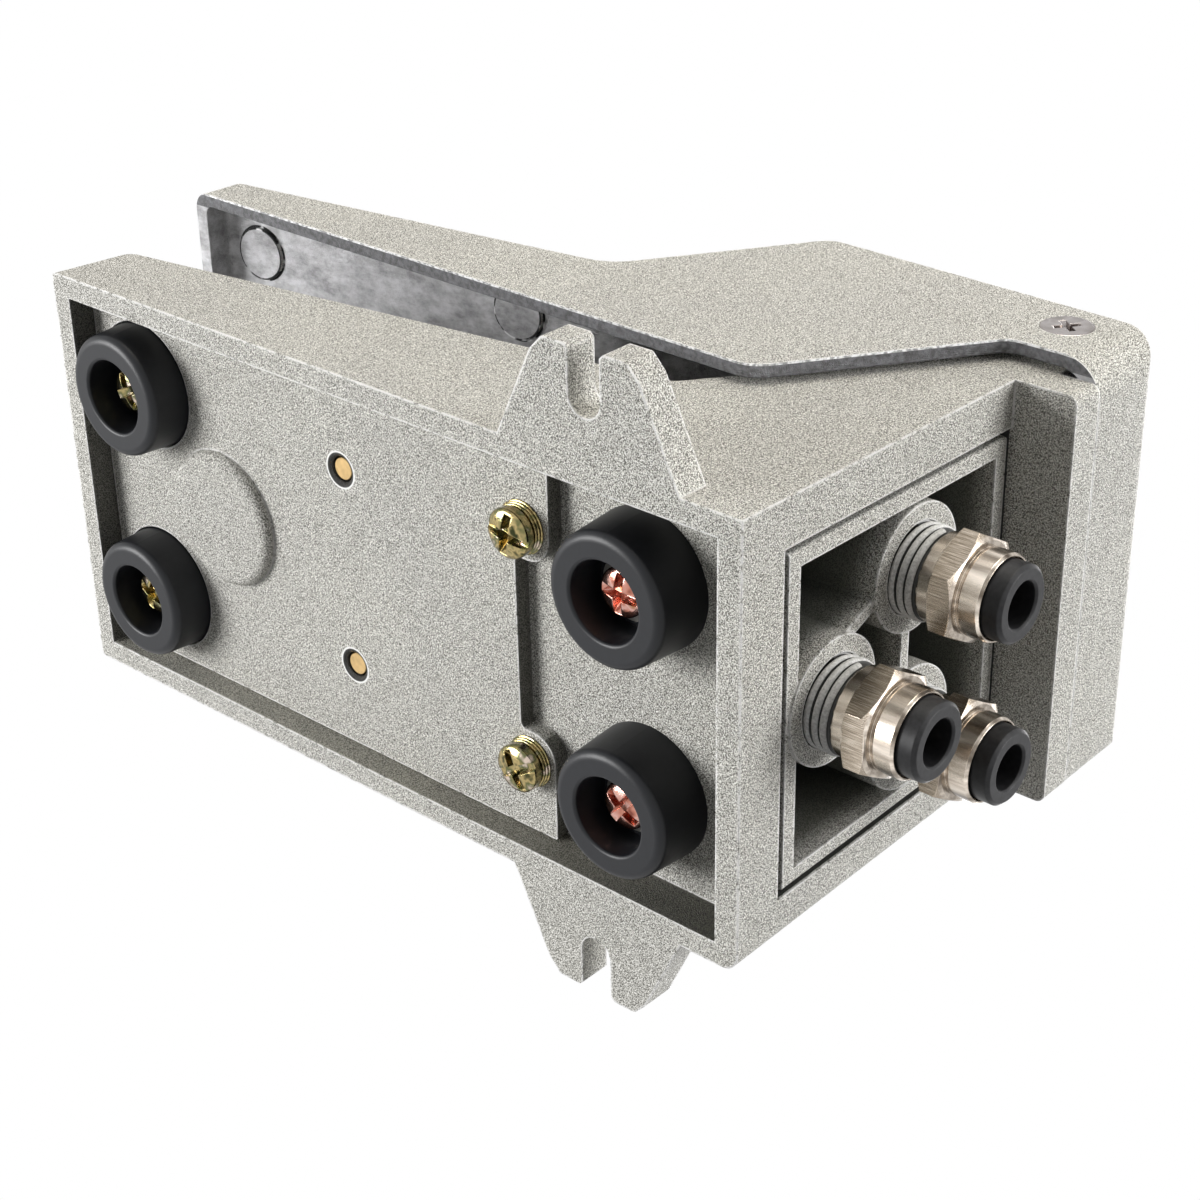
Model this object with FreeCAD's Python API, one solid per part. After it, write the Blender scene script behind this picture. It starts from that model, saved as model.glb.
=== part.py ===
import FreeCAD, Part
import math
import os

os.makedirs("parts", exist_ok=True)

# Foot pedal air valve, 3/2 way, with three push-in tube fittings.
# Working frame: x across, y towards the ports with the port face at y = 0, z up from
# the bottom rim of the base. save() moves every piece to the part frame, which stands
# on its feet at z = 0 with the origin under the middle of the overall length.

# Base casting, millimetres
base_half_width = 33.0
base_length = 132.6
side_draft_deg = 1.23
rim_wall = 3.45
rear_wall = 3.8
deck_front_z = 13.8
deck_rear_z = 28.4
deck_rear_y = -34.5
deck_wall = 2.6
ramp_top_y = -12.0
ramp_top_z = 60.9
ear_wall = 4.0
shelf_z0 = 58.5
shelf_z1 = 64.3
shelf_reach = 9.6
floor_z = 6.5
floor_wall = 1.9
floor_front_y = -46.5
plate_ledge = 2.5
base_corner = 2.5
base_edge_round = 0.8

# Lugs that take the floor bolts
lug_y = -24.8
lug_reach = 48.3
lug_wall = 5.0
lug_root_half = 15.2
lug_shoulder_half = 8.9
lug_tip_half = 6.9
lug_slot_half = 2.6
lug_slot_depth = 9.1

# Valve pocket in the port face, and the valve body that fills it
pocket_half = 26.0
pocket_z0 = 8.4
pocket_gap = 1.0
frame_wall = 2.4
frame_depth = 16.0
body_front_y = -35.6
body_bottom_z = 9.3
body_top_z = 57.4
boss_radius = 9.2
boss_proud = 0.3
port_spread = 12.25
port_high_z = 36.7
port_low_z = 19.0

# Bottom plate
plate_face_z = 4.0
plate_fit = 0.15
plate_rear_y = -41.5
plate_lug_y = -35.2
plate_lug_x = 13.3
plate_lug_round = 4.0
disc_setback = 30.8
disc_y = disc_setback - base_length
disc_radius = 10.8
disc_height = 1.7
disc_round = 1.4
plate_screw_x = 18.1
plate_screw_y = -39.9
bracket_screw_x = 15.8
bracket_y = -75.1

# Rubber feet
foot_drop = 2.3
foot_radius = 9.44
foot_taper = 0.06
foot_round = 1.3
foot_hole = 5.7
foot_seat_z = 3.0
front_foot_x = 17.2
front_foot_setback = 14.5
front_foot_y = front_foot_setback - base_length
rear_foot_x = 16.0
rear_foot_y = -20.3
foot_washer_radius = 4.6
foot_washer_wall = 0.8

# Screws
screw_radius = 1.95
screw_fit = 0.05
head_radius = 3.5
head_height = 2.6
plate_head_radius = 3.6
plate_head_height = 2.4
spring_washer_radius = 3.9
spring_washer_wall = 0.9
front_foot_screw_top = 13.0
rear_foot_screw_top = 22.0
plate_screw_top = 12.0
boss_wall = 1.65
plate_pad_radius = 11.2
plate_pad_height = 2.0
plate_pad_fit = 0.25

# Pedal
skirt_offset = 2.9
skirt_wall = 2.0
pedal_overhang = 7.6
pedal_front_y = -base_length - pedal_overhang
pedal_front_wall = 2.4
pedal_rear_wall = 2.5
treadle_front_z = 41.4
treadle_rear_y = -66.5
treadle_rear_z = 51.9
hood_front_y = -48.1
hood_front_z = 82.2
hood_rear_z = 80.2
pedal_wall = 2.8
skirt_front_z = 34.4
skirt_low_y = -25.3
skirt_low_z = 33.5
arch_y = -5.0
pedal_seam = 0.3
pedal_rear_round = 6.0
pedal_front_round = 3.0
grip_count = 7
grip_pitch = 8.0
grip_width = 2.6
grip_height = 0.6
ejector_radius = 4.4
ejector_height = 0.5
ejector_x = 25.0
ejector_setback = 8.9
ejector_front_y = pedal_front_y + ejector_setback
ejector_rear_y = -80.7

# Hinge
hinge_y = -1.7
hinge_z = 73.9
hinge_boss = 3.5
hinge_head_radius = 3.85
hinge_running = 0.08
hinge_screw_length = 9.0
hinge_washer_radius = 3.4
hinge_washer_wall = 0.5
hinge_washer_gap = 0.09

# Spool valve inside the body
plunger_arm = 24.4
bore_radius = 6.0
gallery_radius = 7.6
spool_running = 0.05
spool_core = 4.2
land_half = 1.7
seal_groove_radius = 4.9
seal_wire = 0.9
spool_bottom_z = 16.3
spool_stem_radius = 3.4
spool_stem_top = 68.0
low_seal_z = 17.6
first_seal_z = 27.4
second_seal_z = 45.6
top_seal_z = 55.6
supply_gallery = (19.0, 25.0)
work_gallery = (29.0, 40.0)
exhaust_gallery = (44.0, 51.0)
passage_radius = 2.5
passage_offset = 3.0
end_plug_z0 = 9.5
end_plug_z1 = 12.5
guide_cap_radius = 9.6
guide_cap_wall = 2.4

# Springs
spool_spring_radius = 2.4
spool_spring_wire = 0.6
spool_spring_turns = 6
pedal_spring_radius = 7.4
pedal_spring_wire = 1.6
pedal_spring_turns = 6
spring_hub_radius = 5.6
spring_hub_height = 3.0
bracket_wall = 2.0
bracket_half_length = 21.0
bracket_half_width = 9.5
deck_hole_radius = 12.0

# Adjusting screw under the hood
adjuster_radius = 2.4
adjuster_boss_radius = 5.0
adjuster_boss_z = 74.6
adjuster_nut_half = 4.0
adjuster_nut_wall = 2.6
touch_gap = 0.35

# Push-in fittings
thread_radius = 6.58
thread_taper = 1.0 / 32.0
thread_inside = 8.0
thread_outside = 4.0
thread_fit = 0.03
neck_radius = 5.9
hex_start = 5.1
hex_length = 4.9
hex_flats = 14.0
head_end = 13.6
fitting_head_radius = 6.15
flow_radius = 2.4
socket_radius = 3.05
socket_start = 1.6
socket_length = 4.4
ring_clearance = 0.2
chamber_radius = 4.7
mouth_start = 10.8
collar_radius = 5.45
collar_hole = 3.25
collar_stem = 4.3
collar_face = 16.4
collar_flange = 3.6
collar_stem_gap = 0.4
collar_travel = 1.5
grip_ring_wall = 0.8
seal_ring_wall = 1.8


side_slope = math.tan(math.radians(side_draft_deg))
centre_y = (collar_face + boss_proud + pedal_front_y) / 2.0
spool_y = hinge_y - plunger_arm
body_half = pocket_half - pocket_gap


def vec(x, y, z):
    return FreeCAD.Vector(x, y, z)


def save(name, shape):
    placed = shape.copy()
    placed.translate(vec(0.0, -centre_y, foot_drop))
    placed.exportStep("parts/" + name + ".step")


def block(x0, x1, y0, y1, z0, z1):
    return Part.makeBox(x1 - x0, y1 - y0, z1 - z0, vec(x0, y0, z0))


def rod_z(radius, x, y, z0, z1):
    return Part.makeCylinder(radius, z1 - z0, vec(x, y, z0), vec(0, 0, 1))


def rod_y(radius, x, z, y0, y1):
    return Part.makeCylinder(radius, y1 - y0, vec(x, y0, z), vec(0, 1, 0))


def rod_x(radius, y, z, x0, x1):
    return Part.makeCylinder(radius, x1 - x0, vec(x0, y, z), vec(1, 0, 0))


def rounded_face(corners, place):
    """Flat face inside corners (u, v, radius); place turns (u, v) into a point."""
    count = len(corners)
    stretches = []
    for i in range(count):
        before = corners[i - 1]
        here = corners[i]
        after = corners[(i + 1) % count]
        a = FreeCAD.Vector(before[0] - here[0], before[1] - here[1], 0)
        b = FreeCAD.Vector(after[0] - here[0], after[1] - here[1], 0)
        a.normalize()
        b.normalize()
        corner = FreeCAD.Vector(here[0], here[1], 0)
        if here[2] <= 0:
            stretches.append((corner, None, corner))
            continue
        half = a.getAngle(b) / 2.0
        back = here[2] / math.tan(half)
        middle = a + b
        middle.normalize()
        centre = corner + middle * (here[2] / math.sin(half))
        stretches.append((corner + a * back, centre - middle * here[2], corner + b * back))
    edges = []
    for i in range(count):
        start, middle, end = stretches[i]
        if middle is not None:
            arc = Part.Arc(place(start.x, start.y), place(middle.x, middle.y), place(end.x, end.y))
            edges.append(arc.toShape())
        following = stretches[(i + 1) % count][0]
        edges.append(Part.LineSegment(place(end.x, end.y), place(following.x, following.y)).toShape())
    return Part.Face(Part.Wire(edges))


def side_extrusion(corners, half):
    face = rounded_face(corners, lambda y, z: vec(-half, y, z))
    return face.extrude(vec(2.0 * half, 0, 0))


def plan_extrusion(corners, z0, z1):
    face = rounded_face(corners, lambda x, y: vec(x, y, z0))
    return face.extrude(vec(0, 0, z1 - z0))


def drafted_block(half_at_rim, y0, y1, z0, z1, front_round, rear_round):
    """Block whose sides lean inwards going up, as the castings do, with rounded corners."""
    wires = []
    for z in (z0, z1):
        half = half_at_rim - side_slope * z
        corners = [
            (-half, y0, front_round),
            (half, y0, front_round),
            (half, y1, rear_round),
            (-half, y1, rear_round),
        ]
        wires.append(rounded_face(corners, lambda x, y: vec(x, y, z)).OuterWire)
    return Part.makeLoft(wires, True, True)


def turned(points, x, y, axis):
    """Solid of revolution about a line through (x, y) along axis; points are (radius, height)."""
    if axis == "z":
        corners = [vec(x + r, y, h) for r, h in points]
        line = vec(0, 0, 1)
        origin = vec(x, y, 0)
    else:
        corners = [vec(x + r, h, y) for r, h in points]
        line = vec(0, 1, 0)
        origin = vec(x, 0, y)
    wire = Part.makePolygon(corners + [corners[0]])
    return Part.Face(wire).revolve(origin, line, 360)


def pan_screw(x, y, head_z, radius, height, top_z):
    """Pan head screw that enters upwards: domed head below, shank above."""
    dome = height * 0.25
    points = [
        (0.0, head_z),
        (radius * 0.72, head_z),
        (radius * 0.94, head_z + dome),
        (radius, head_z + 2.0 * dome),
        (radius, head_z + height),
        (screw_radius, head_z + height),
        (screw_radius, top_z - 0.5),
        (screw_radius - 0.4, top_z),
        (0.0, top_z),
    ]
    return turned(points, x, y, "z")


def coil_spring(radius, wire, turns, x, y, z0, z1):
    """Compression spring between the seats z0 and z1."""
    low = z0 + wire
    height = z1 - z0 - 2.0 * wire
    helix = Part.makeHelix(height / turns, height, radius)
    helix.translate(vec(x, y, low))
    start = vec(x + radius, y, low)
    section = Part.Wire(Part.makeCircle(wire, start, vec(0, 1, 0)))
    return Part.Wire(helix.Edges).makePipeShell([section], True, True)


def both_sides(maker):
    return maker(1.0), maker(-1.0)


# Base casting: an open-bottomed shell. The low deck runs under the treadle, the side
# walls climb along a ramp to the hinge ears, and a shelf closes the top of the pocket.
def base_outline():
    return [
        (-base_length, 0.0, 0.0),
        (-base_length + 1.4, deck_front_z, base_corner),
        (deck_rear_y, deck_rear_z, 3.0),
        (ramp_top_y, ramp_top_z, 4.0),
        (hinge_y - hinge_boss, hinge_z, 0.0),
        (hinge_y - hinge_boss, hinge_z + hinge_boss, hinge_boss - 0.02),
        (hinge_y + hinge_boss, hinge_z + hinge_boss, hinge_boss - 0.02),
        (hinge_y + hinge_boss + 1.6, shelf_z1, 0.0),
        (shelf_reach, shelf_z1, 0.0),
        (shelf_reach, shelf_z0, 0.0),
        (0.0, shelf_z0, 0.0),
        (0.0, 0.0, 0.0),
    ]


def deck_slope():
    return (deck_rear_z - deck_front_z) / (deck_rear_y + base_length - 1.4)


def deck_under(y):
    return deck_front_z + (y + base_length - 1.4) * deck_slope() - deck_wall


def lug(side):
    slot_end = lug_reach - lug_slot_depth
    chamfer = 0.6
    corners = [
        (side * (base_half_width - 3.0), lug_y - lug_root_half, 0.0),
        (side * (base_half_width - 0.1), lug_y - lug_root_half, 0.0),
        (side * (lug_reach - 2.1), lug_y - lug_shoulder_half, 1.0),
        (side * lug_reach, lug_y - lug_tip_half, 0.6),
        (side * lug_reach, lug_y - lug_slot_half - chamfer, 0.0),
        (side * (lug_reach - chamfer), lug_y - lug_slot_half, 0.0),
        (side * slot_end, lug_y - lug_slot_half, lug_slot_half - 0.05),
        (side * slot_end, lug_y + lug_slot_half, lug_slot_half - 0.05),
        (side * (lug_reach - chamfer), lug_y + lug_slot_half, 0.0),
        (side * lug_reach, lug_y + lug_slot_half + chamfer, 0.0),
        (side * lug_reach, lug_y + lug_tip_half, 0.6),
        (side * (lug_reach - 2.1), lug_y + lug_shoulder_half, 1.0),
        (side * (base_half_width - 0.1), lug_y + lug_root_half, 0.0),
        (side * (base_half_width - 3.0), lug_y + lug_root_half, 0.0),
    ]
    return plan_extrusion(corners, 0.0, lug_wall)


def base_upper_edges(shell):
    """Edges where the deck and the ramp meet the sides."""
    edges = []
    for edge in shell.Edges:
        box = edge.BoundBox
        middle = edge.valueAt((edge.FirstParameter + edge.LastParameter) / 2.0)
        on_top = box.ZMax > deck_front_z and box.XLength < 1.5 and box.YLength > 1.0
        if on_top and middle.y < ramp_top_y and middle.z < ramp_top_z:
            edges.append(edge)
    return edges


def base_housing():
    shell = side_extrusion(base_outline(), base_half_width + 1.0)
    shell = shell.common(
        drafted_block(base_half_width, -base_length - 1.0, shelf_reach, -1.0, 90.0, 0.0, 1.5)
    )
    shell = shell.makeFillet(base_edge_round, base_upper_edges(shell))
    rim_half = base_half_width - rim_wall
    recess = block(-rim_half, rim_half, -base_length + rim_wall, -rear_wall, -1.0, floor_z)
    shell = shell.cut(recess)

    inner_half = rim_half - plate_ledge
    hollow_front = -base_length + rim_wall + plate_ledge
    hollow = side_extrusion(
        [
            (hollow_front, floor_z - 0.5, 0.0),
            (hollow_front, deck_under(hollow_front), 1.5),
            (body_front_y - 1.5, deck_under(body_front_y - 1.5), 0.0),
            (body_front_y - 1.5, floor_z + floor_wall, 0.0),
            (floor_front_y, floor_z + floor_wall, 0.0),
            (floor_front_y, floor_z - 0.5, 0.0),
        ],
        inner_half,
    )
    shell = shell.cut(hollow)
    valve_room = drafted_block(
        base_half_width - rim_wall, body_front_y - 1.5, -rear_wall, pocket_z0, 90.0, 2.0, 2.0
    )
    above_shelf = block(-40.0, 40.0, -rear_wall - 2.0, 40.0, shelf_z0, 90.0)
    shell = shell.cut(valve_room.cut(above_shelf))
    between_ears = drafted_block(
        base_half_width - ear_wall, body_front_y, shelf_reach + 5.0, shelf_z1, 90.0, 0.5, 0.5
    )
    shell = shell.cut(between_ears)
    mouth = drafted_block(pocket_half, -rear_wall - 1.0, 1.0, pocket_z0, shelf_z0, 0.0, 0.0)
    shell = shell.cut(mouth)
    shell = shell.cut(rod_z(deck_hole_radius, 0.0, bracket_y, floor_z + 1.0, 60.0))

    for side in (1.0, -1.0):
        shell = shell.fuse(lug(side))
        pad_radius = screw_radius + boss_wall
        foot_boss = rod_z(
            pad_radius,
            side * front_foot_x,
            front_foot_y,
            floor_z + plate_pad_height,
            deck_under(front_foot_y) + 0.5,
        )
        plate_boss = rod_z(pad_radius, side * plate_screw_x, plate_screw_y, floor_z, plate_screw_top + 1.5)
        body_pad = block(
            side * rear_foot_x - pad_radius,
            side * rear_foot_x + pad_radius,
            body_front_y + 2.0,
            rear_foot_y + 3.0 * pad_radius,
            floor_z,
            body_bottom_z,
        )
        ear_depth = base_half_width - side_slope * hinge_z - hinge_screw_length
        ear_inner = base_half_width - side_slope * hinge_z - 1.0
        low, high = sorted((side * ear_depth, side * ear_inner))
        ear_boss = rod_x(hinge_boss, hinge_y, hinge_z, low, high)
        shell = shell.fuse([foot_boss, plate_boss, body_pad, ear_boss])
    for side in (1.0, -1.0):
        hole = screw_radius + screw_fit
        for x, y, top in (
            (front_foot_x, front_foot_y, front_foot_screw_top),
            (plate_screw_x, plate_screw_y, plate_screw_top),
        ):
            shell = shell.cut(rod_z(hole, side * x, y, floor_z - 1.0, top + 0.4))
        shell = shell.cut(rod_z(hole, side * rear_foot_x, rear_foot_y, floor_z - 1.0, body_bottom_z + 1.0))
        low, high = sorted((side * 20.0, side * 40.0))
        shell = shell.cut(rod_x(hole, hinge_y, hinge_z, low, high))
    return shell.removeSplitter()


# Bottom plate: a flat casting let into the bottom recess, with two rear ears for its
# screws, a round raised disc between the front feet and two tapped holes.
def plate_outline():
    half = base_half_width - rim_wall - plate_fit
    front = -base_length + rim_wall + plate_fit
    return [
        (-half, front, 1.0),
        (half, front, 1.0),
        (half, plate_lug_y, 0.5),
        (plate_lug_x, plate_lug_y, plate_lug_round),
        (plate_lug_x, plate_rear_y, 1.0),
        (-plate_lug_x, plate_rear_y, 1.0),
        (-plate_lug_x, plate_lug_y, plate_lug_round),
        (-half, plate_lug_y, 0.5),
    ]


def plate_hollow_half():
    return base_half_width - rim_wall - plate_ledge - plate_pad_fit


def plate_hollow_front():
    return -base_length + rim_wall + plate_ledge + plate_pad_fit


def bottom_plate():
    plate = plan_extrusion(plate_outline(), plate_face_z, floor_z)
    disc = rod_z(disc_radius, 0.0, disc_y, plate_face_z - disc_height, plate_face_z)
    edge = [e for e in disc.Edges if abs(e.BoundBox.ZMax - plate_face_z + disc_height) < 0.01]
    disc = disc.makeFillet(disc_round, edge)
    plate = plate.fuse(disc)
    room = block(
        -plate_hollow_half(),
        plate_hollow_half(),
        plate_hollow_front(),
        bracket_y,
        plate_face_z,
        floor_z + plate_pad_height,
    )
    for side in (1.0, -1.0):
        x = side * front_foot_x
        pad = rod_z(plate_pad_radius, x, front_foot_y, plate_face_z, floor_z + plate_pad_height)
        plate = plate.fuse(pad.common(room))
    for side in (1.0, -1.0):
        seat_radius = foot_radius + foot_taper * (floor_z + foot_drop) + 0.1
        plate = plate.cut(rod_z(seat_radius, side * front_foot_x, front_foot_y, 0.0, floor_z))
    hole = screw_radius + screw_fit
    for side in (1.0, -1.0):
        for x, y in (
            (front_foot_x, front_foot_y),
            (plate_screw_x, plate_screw_y),
            (bracket_screw_x, bracket_y),
        ):
            plate = plate.cut(rod_z(hole, side * x, y, 0.0, floor_z + plate_pad_height + 1.0))
        mouth = Part.makeCone(hole + 0.4, hole, 0.4, vec(side * bracket_screw_x, bracket_y, plate_face_z))
        plate = plate.cut(mouth)
    return plate.removeSplitter()


# Rubber feet: conical rings with a deep counterbore that takes the screw head and a washer.
def foot(x, y):
    top_z = floor_z
    seat_z = foot_seat_z + foot_washer_wall
    height = top_z + foot_drop
    top_radius = foot_radius + foot_taper * height
    corners = [
        (foot_hole, -foot_drop, 0.5),
        (foot_radius, -foot_drop, foot_round),
        (top_radius, top_z, 0.0),
        (screw_radius + screw_fit, top_z, 0.0),
        (screw_radius + screw_fit, seat_z, 0.0),
        (foot_hole, seat_z, 0.0),
    ]
    face = rounded_face(corners, lambda r, z: vec(x + r, y, z))
    return face.revolve(vec(x, y, 0), vec(0, 0, 1), 360)


def foot_washer(x, y):
    washer = rod_z(foot_washer_radius, x, y, foot_seat_z, foot_seat_z + foot_washer_wall)
    return washer.cut(rod_z(screw_radius + screw_fit, x, y, 0.0, 10.0))


def spring_washer(side):
    x = side * plate_screw_x
    low = plate_face_z - spring_washer_wall
    washer = rod_z(spring_washer_radius, x, plate_screw_y, low, plate_face_z)
    washer = washer.cut(rod_z(screw_radius + screw_fit, x, plate_screw_y, 0.0, 10.0))
    split = block(x, x + 10.0, plate_screw_y - 0.35, plate_screw_y + 0.35, 0.0, 10.0)
    return washer.cut(split)


# Valve body: a casting with a thin frame round the pocket, three port bosses joined by
# ribs, and a block in front of them that holds the upright spool.
def valve_ports():
    return (
        ("supply", 0.0, port_low_z),
        ("work", port_spread, port_high_z),
        ("exhaust", -port_spread, port_high_z),
    )


def rib(x0, z0, x1, z1, half):
    length = math.hypot(x1 - x0, z1 - z0)
    bar = block(0.0, length, -frame_depth, boss_proud - 0.6, -half, half)
    bar.rotate(vec(0, 0, 0), vec(0, 1, 0), -math.degrees(math.atan2(z1 - z0, x1 - x0)))
    bar.translate(vec(x0, 0.0, z0))
    return bar


def valve_body():
    body = drafted_block(body_half, body_front_y, 0.0, body_bottom_z, body_top_z, 3.0, 0.5)
    pocket = drafted_block(
        body_half - frame_wall,
        -frame_depth,
        5.0,
        body_bottom_z + frame_wall,
        body_top_z - frame_wall,
        1.0,
        0.5,
    )
    body = body.cut(pocket)
    for name, x, z in valve_ports():
        body = body.fuse(rod_y(boss_radius, x, z, -frame_depth - 1.0, boss_proud))
    body = body.fuse(rib(-port_spread, port_high_z - 1.0, port_spread, port_high_z - 1.0, 0.9))
    for side in (1.0, -1.0):
        body = body.fuse(rib(side * 6.5, port_low_z, side * 12.0, port_high_z - 4.0, 0.9))
    for name, x, z in valve_ports():
        wide = thread_radius + thread_fit + boss_proud * thread_taper
        depth = thread_inside + 1.0
        narrow = wide - depth * thread_taper
        tapped = Part.makeCone(narrow, wide, depth, vec(x, boss_proud - depth, z), vec(0, 1, 0))
        body = body.cut(tapped)
    body = body.cut(rod_z(bore_radius, 0.0, spool_y, 0.0, 80.0))
    for low, high in (supply_gallery, work_gallery, exhaust_gallery):
        body = body.cut(rod_z(gallery_radius, 0.0, spool_y, low, high))
    supply_z = port_low_z + passage_offset
    work_z = port_high_z - passage_offset
    exhaust_z = (exhaust_gallery[0] + exhaust_gallery[1]) / 2.0
    thread_end = boss_proud - thread_inside - 1.0
    body = body.cut(rod_y(passage_radius, 0.0, supply_z, spool_y, thread_end + 0.5))
    body = body.cut(rod_y(passage_radius, port_spread, work_z, spool_y, thread_end + 0.5))
    body = body.cut(rod_x(passage_radius, spool_y, work_z, 0.0, port_spread))
    body = body.cut(rod_y(passage_radius, -port_spread, port_high_z, spool_y, thread_end + 0.5))
    body = body.cut(rod_z(passage_radius, -port_spread, spool_y, port_high_z, exhaust_z))
    body = body.cut(rod_x(passage_radius, spool_y, exhaust_z, -port_spread, 0.0))
    for side in (1.0, -1.0):
        hole = screw_radius + screw_fit
        body = body.cut(rod_z(hole, side * rear_foot_x, rear_foot_y, 0.0, rear_foot_screw_top + 0.5))
    return body.removeSplitter()


# Spool: a turned aluminium rod with four seal lands and a stem that the pedal presses.
def spool_seal_heights():
    return (low_seal_z, first_seal_z, second_seal_z, top_seal_z)


def spool():
    land = bore_radius - spool_running
    points = [(0.0, spool_bottom_z), (land, spool_bottom_z)]
    for z in spool_seal_heights():
        if z != low_seal_z:
            points += [(spool_core, z - land_half), (land, z - land_half)]
        points += [
            (land, z - seal_wire),
            (seal_groove_radius, z - seal_wire),
            (seal_groove_radius, z + seal_wire),
            (land, z + seal_wire),
            (land, z + land_half),
        ]
        if z != top_seal_z:
            points += [(spool_core, z + land_half)]
    stem_start = top_seal_z + land_half
    points += [
        (spool_stem_radius, stem_start),
        (spool_stem_radius, spool_stem_top - 0.8),
        (spool_stem_radius - 0.8, spool_stem_top),
        (0.0, spool_stem_top),
    ]
    rod = turned(points, 0.0, spool_y, "z")
    spring_room = spool_spring_radius + spool_spring_wire + 0.15
    return rod.cut(rod_z(spring_room, 0.0, spool_y, 0.0, low_seal_z + 8.0))


def spool_seals():
    rings = []
    for z in spool_seal_heights():
        ring = rod_z(bore_radius - 0.02, 0.0, spool_y, z - seal_wire + 0.1, z + seal_wire - 0.1)
        edges = [e for e in ring.Edges if e.Closed]
        ring = ring.makeFillet(0.5, edges)
        rings.append(ring.cut(rod_z(seal_groove_radius + 0.02, 0.0, spool_y, z - 2.0, z + 2.0)))
    return Part.makeCompound(rings)


def end_plug():
    plug = rod_z(bore_radius - 0.03, 0.0, spool_y, end_plug_z0, end_plug_z1)
    groove = rod_z(bore_radius + 1.0, 0.0, spool_y, end_plug_z0 + 0.8, end_plug_z1 - 0.8)
    plug = plug.cut(groove.cut(rod_z(seal_groove_radius, 0.0, spool_y, 0.0, 20.0)))
    stub_radius = spool_spring_radius - spool_spring_wire - 0.15
    return plug.fuse(rod_z(stub_radius, 0.0, spool_y, end_plug_z1 - 0.1, end_plug_z1 + 2.0))


def end_plug_seal():
    ring = rod_z(bore_radius - 0.02, 0.0, spool_y, end_plug_z0 + 0.85, end_plug_z1 - 0.85)
    return ring.cut(rod_z(seal_groove_radius + 0.02, 0.0, spool_y, 0.0, 20.0))


def guide_cap():
    cap = rod_z(guide_cap_radius, 0.0, spool_y, body_top_z, body_top_z + guide_cap_wall)
    cap = cap.cut(rod_z(spool_stem_radius + spool_running, 0.0, spool_y, 0.0, 90.0))
    for side in (1.0, -1.0):
        cap = cap.cut(rod_z(1.3, side * (guide_cap_radius - 2.2), spool_y, 0.0, 90.0))
    return cap


def spool_spring():
    return coil_spring(
        spool_spring_radius,
        spool_spring_wire,
        spool_spring_turns,
        0.0,
        spool_y,
        end_plug_z1 + 0.02,
        low_seal_z + 8.0 - 0.02,
    )


# Pedal casting: treadle, ramp and hood in one shell with side skirts and a front lip.
def pedal_outline(inset):
    top = inset * pedal_wall
    lower = skirt_front_z - 40.0 * inset
    front = pedal_front_y + inset * pedal_front_wall
    rear = shelf_reach - inset * pedal_rear_wall
    slope = (treadle_rear_z - treadle_front_z) / (treadle_rear_y - pedal_front_y)
    ramp = math.atan2(hood_front_z - treadle_rear_z, hood_front_y - treadle_rear_y)
    roof = (hood_rear_z - hood_front_z) / (shelf_reach - hood_front_y)
    tread_shift = top * math.tan((ramp - math.atan(slope)) / 2.0)
    hood_shift = top * math.tan((ramp - math.atan(roof)) / 2.0)
    foot_round_in = 8.0 + top
    corners = [
        (front, treadle_front_z + slope * (front - pedal_front_y) - top, 4.0 - 3.0 * inset),
        (treadle_rear_y + tread_shift, treadle_rear_z - top + slope * tread_shift, foot_round_in),
        (hood_front_y + hood_shift, hood_front_z - top + roof * hood_shift, 4.0 - 2.0 * inset),
        (rear, hood_rear_z - top, 4.0 - 2.0 * inset),
    ]
    if inset:
        corners += [(rear, lower, 0.0), (front, lower, 0.0)]
        return corners
    seam = shelf_z1 + pedal_seam
    corners += [
        (rear, seam, 0.0),
        (arch_y, seam, 3.0),
        (skirt_low_y, skirt_low_z, 5.0),
        (front, skirt_front_z, 0.0),
    ]
    return corners


def treadle_top(y):
    slope = (treadle_rear_z - treadle_front_z) / (treadle_rear_y - pedal_front_y)
    return treadle_front_z + slope * (y - pedal_front_y)


def roof_under(y):
    slope = (hood_rear_z - hood_front_z) / (shelf_reach - hood_front_y)
    return hood_front_z + slope * (y - hood_front_y) - pedal_wall


def treadle_angle():
    return math.degrees(math.atan2(treadle_rear_z - treadle_front_z, treadle_rear_y - pedal_front_y))


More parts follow.
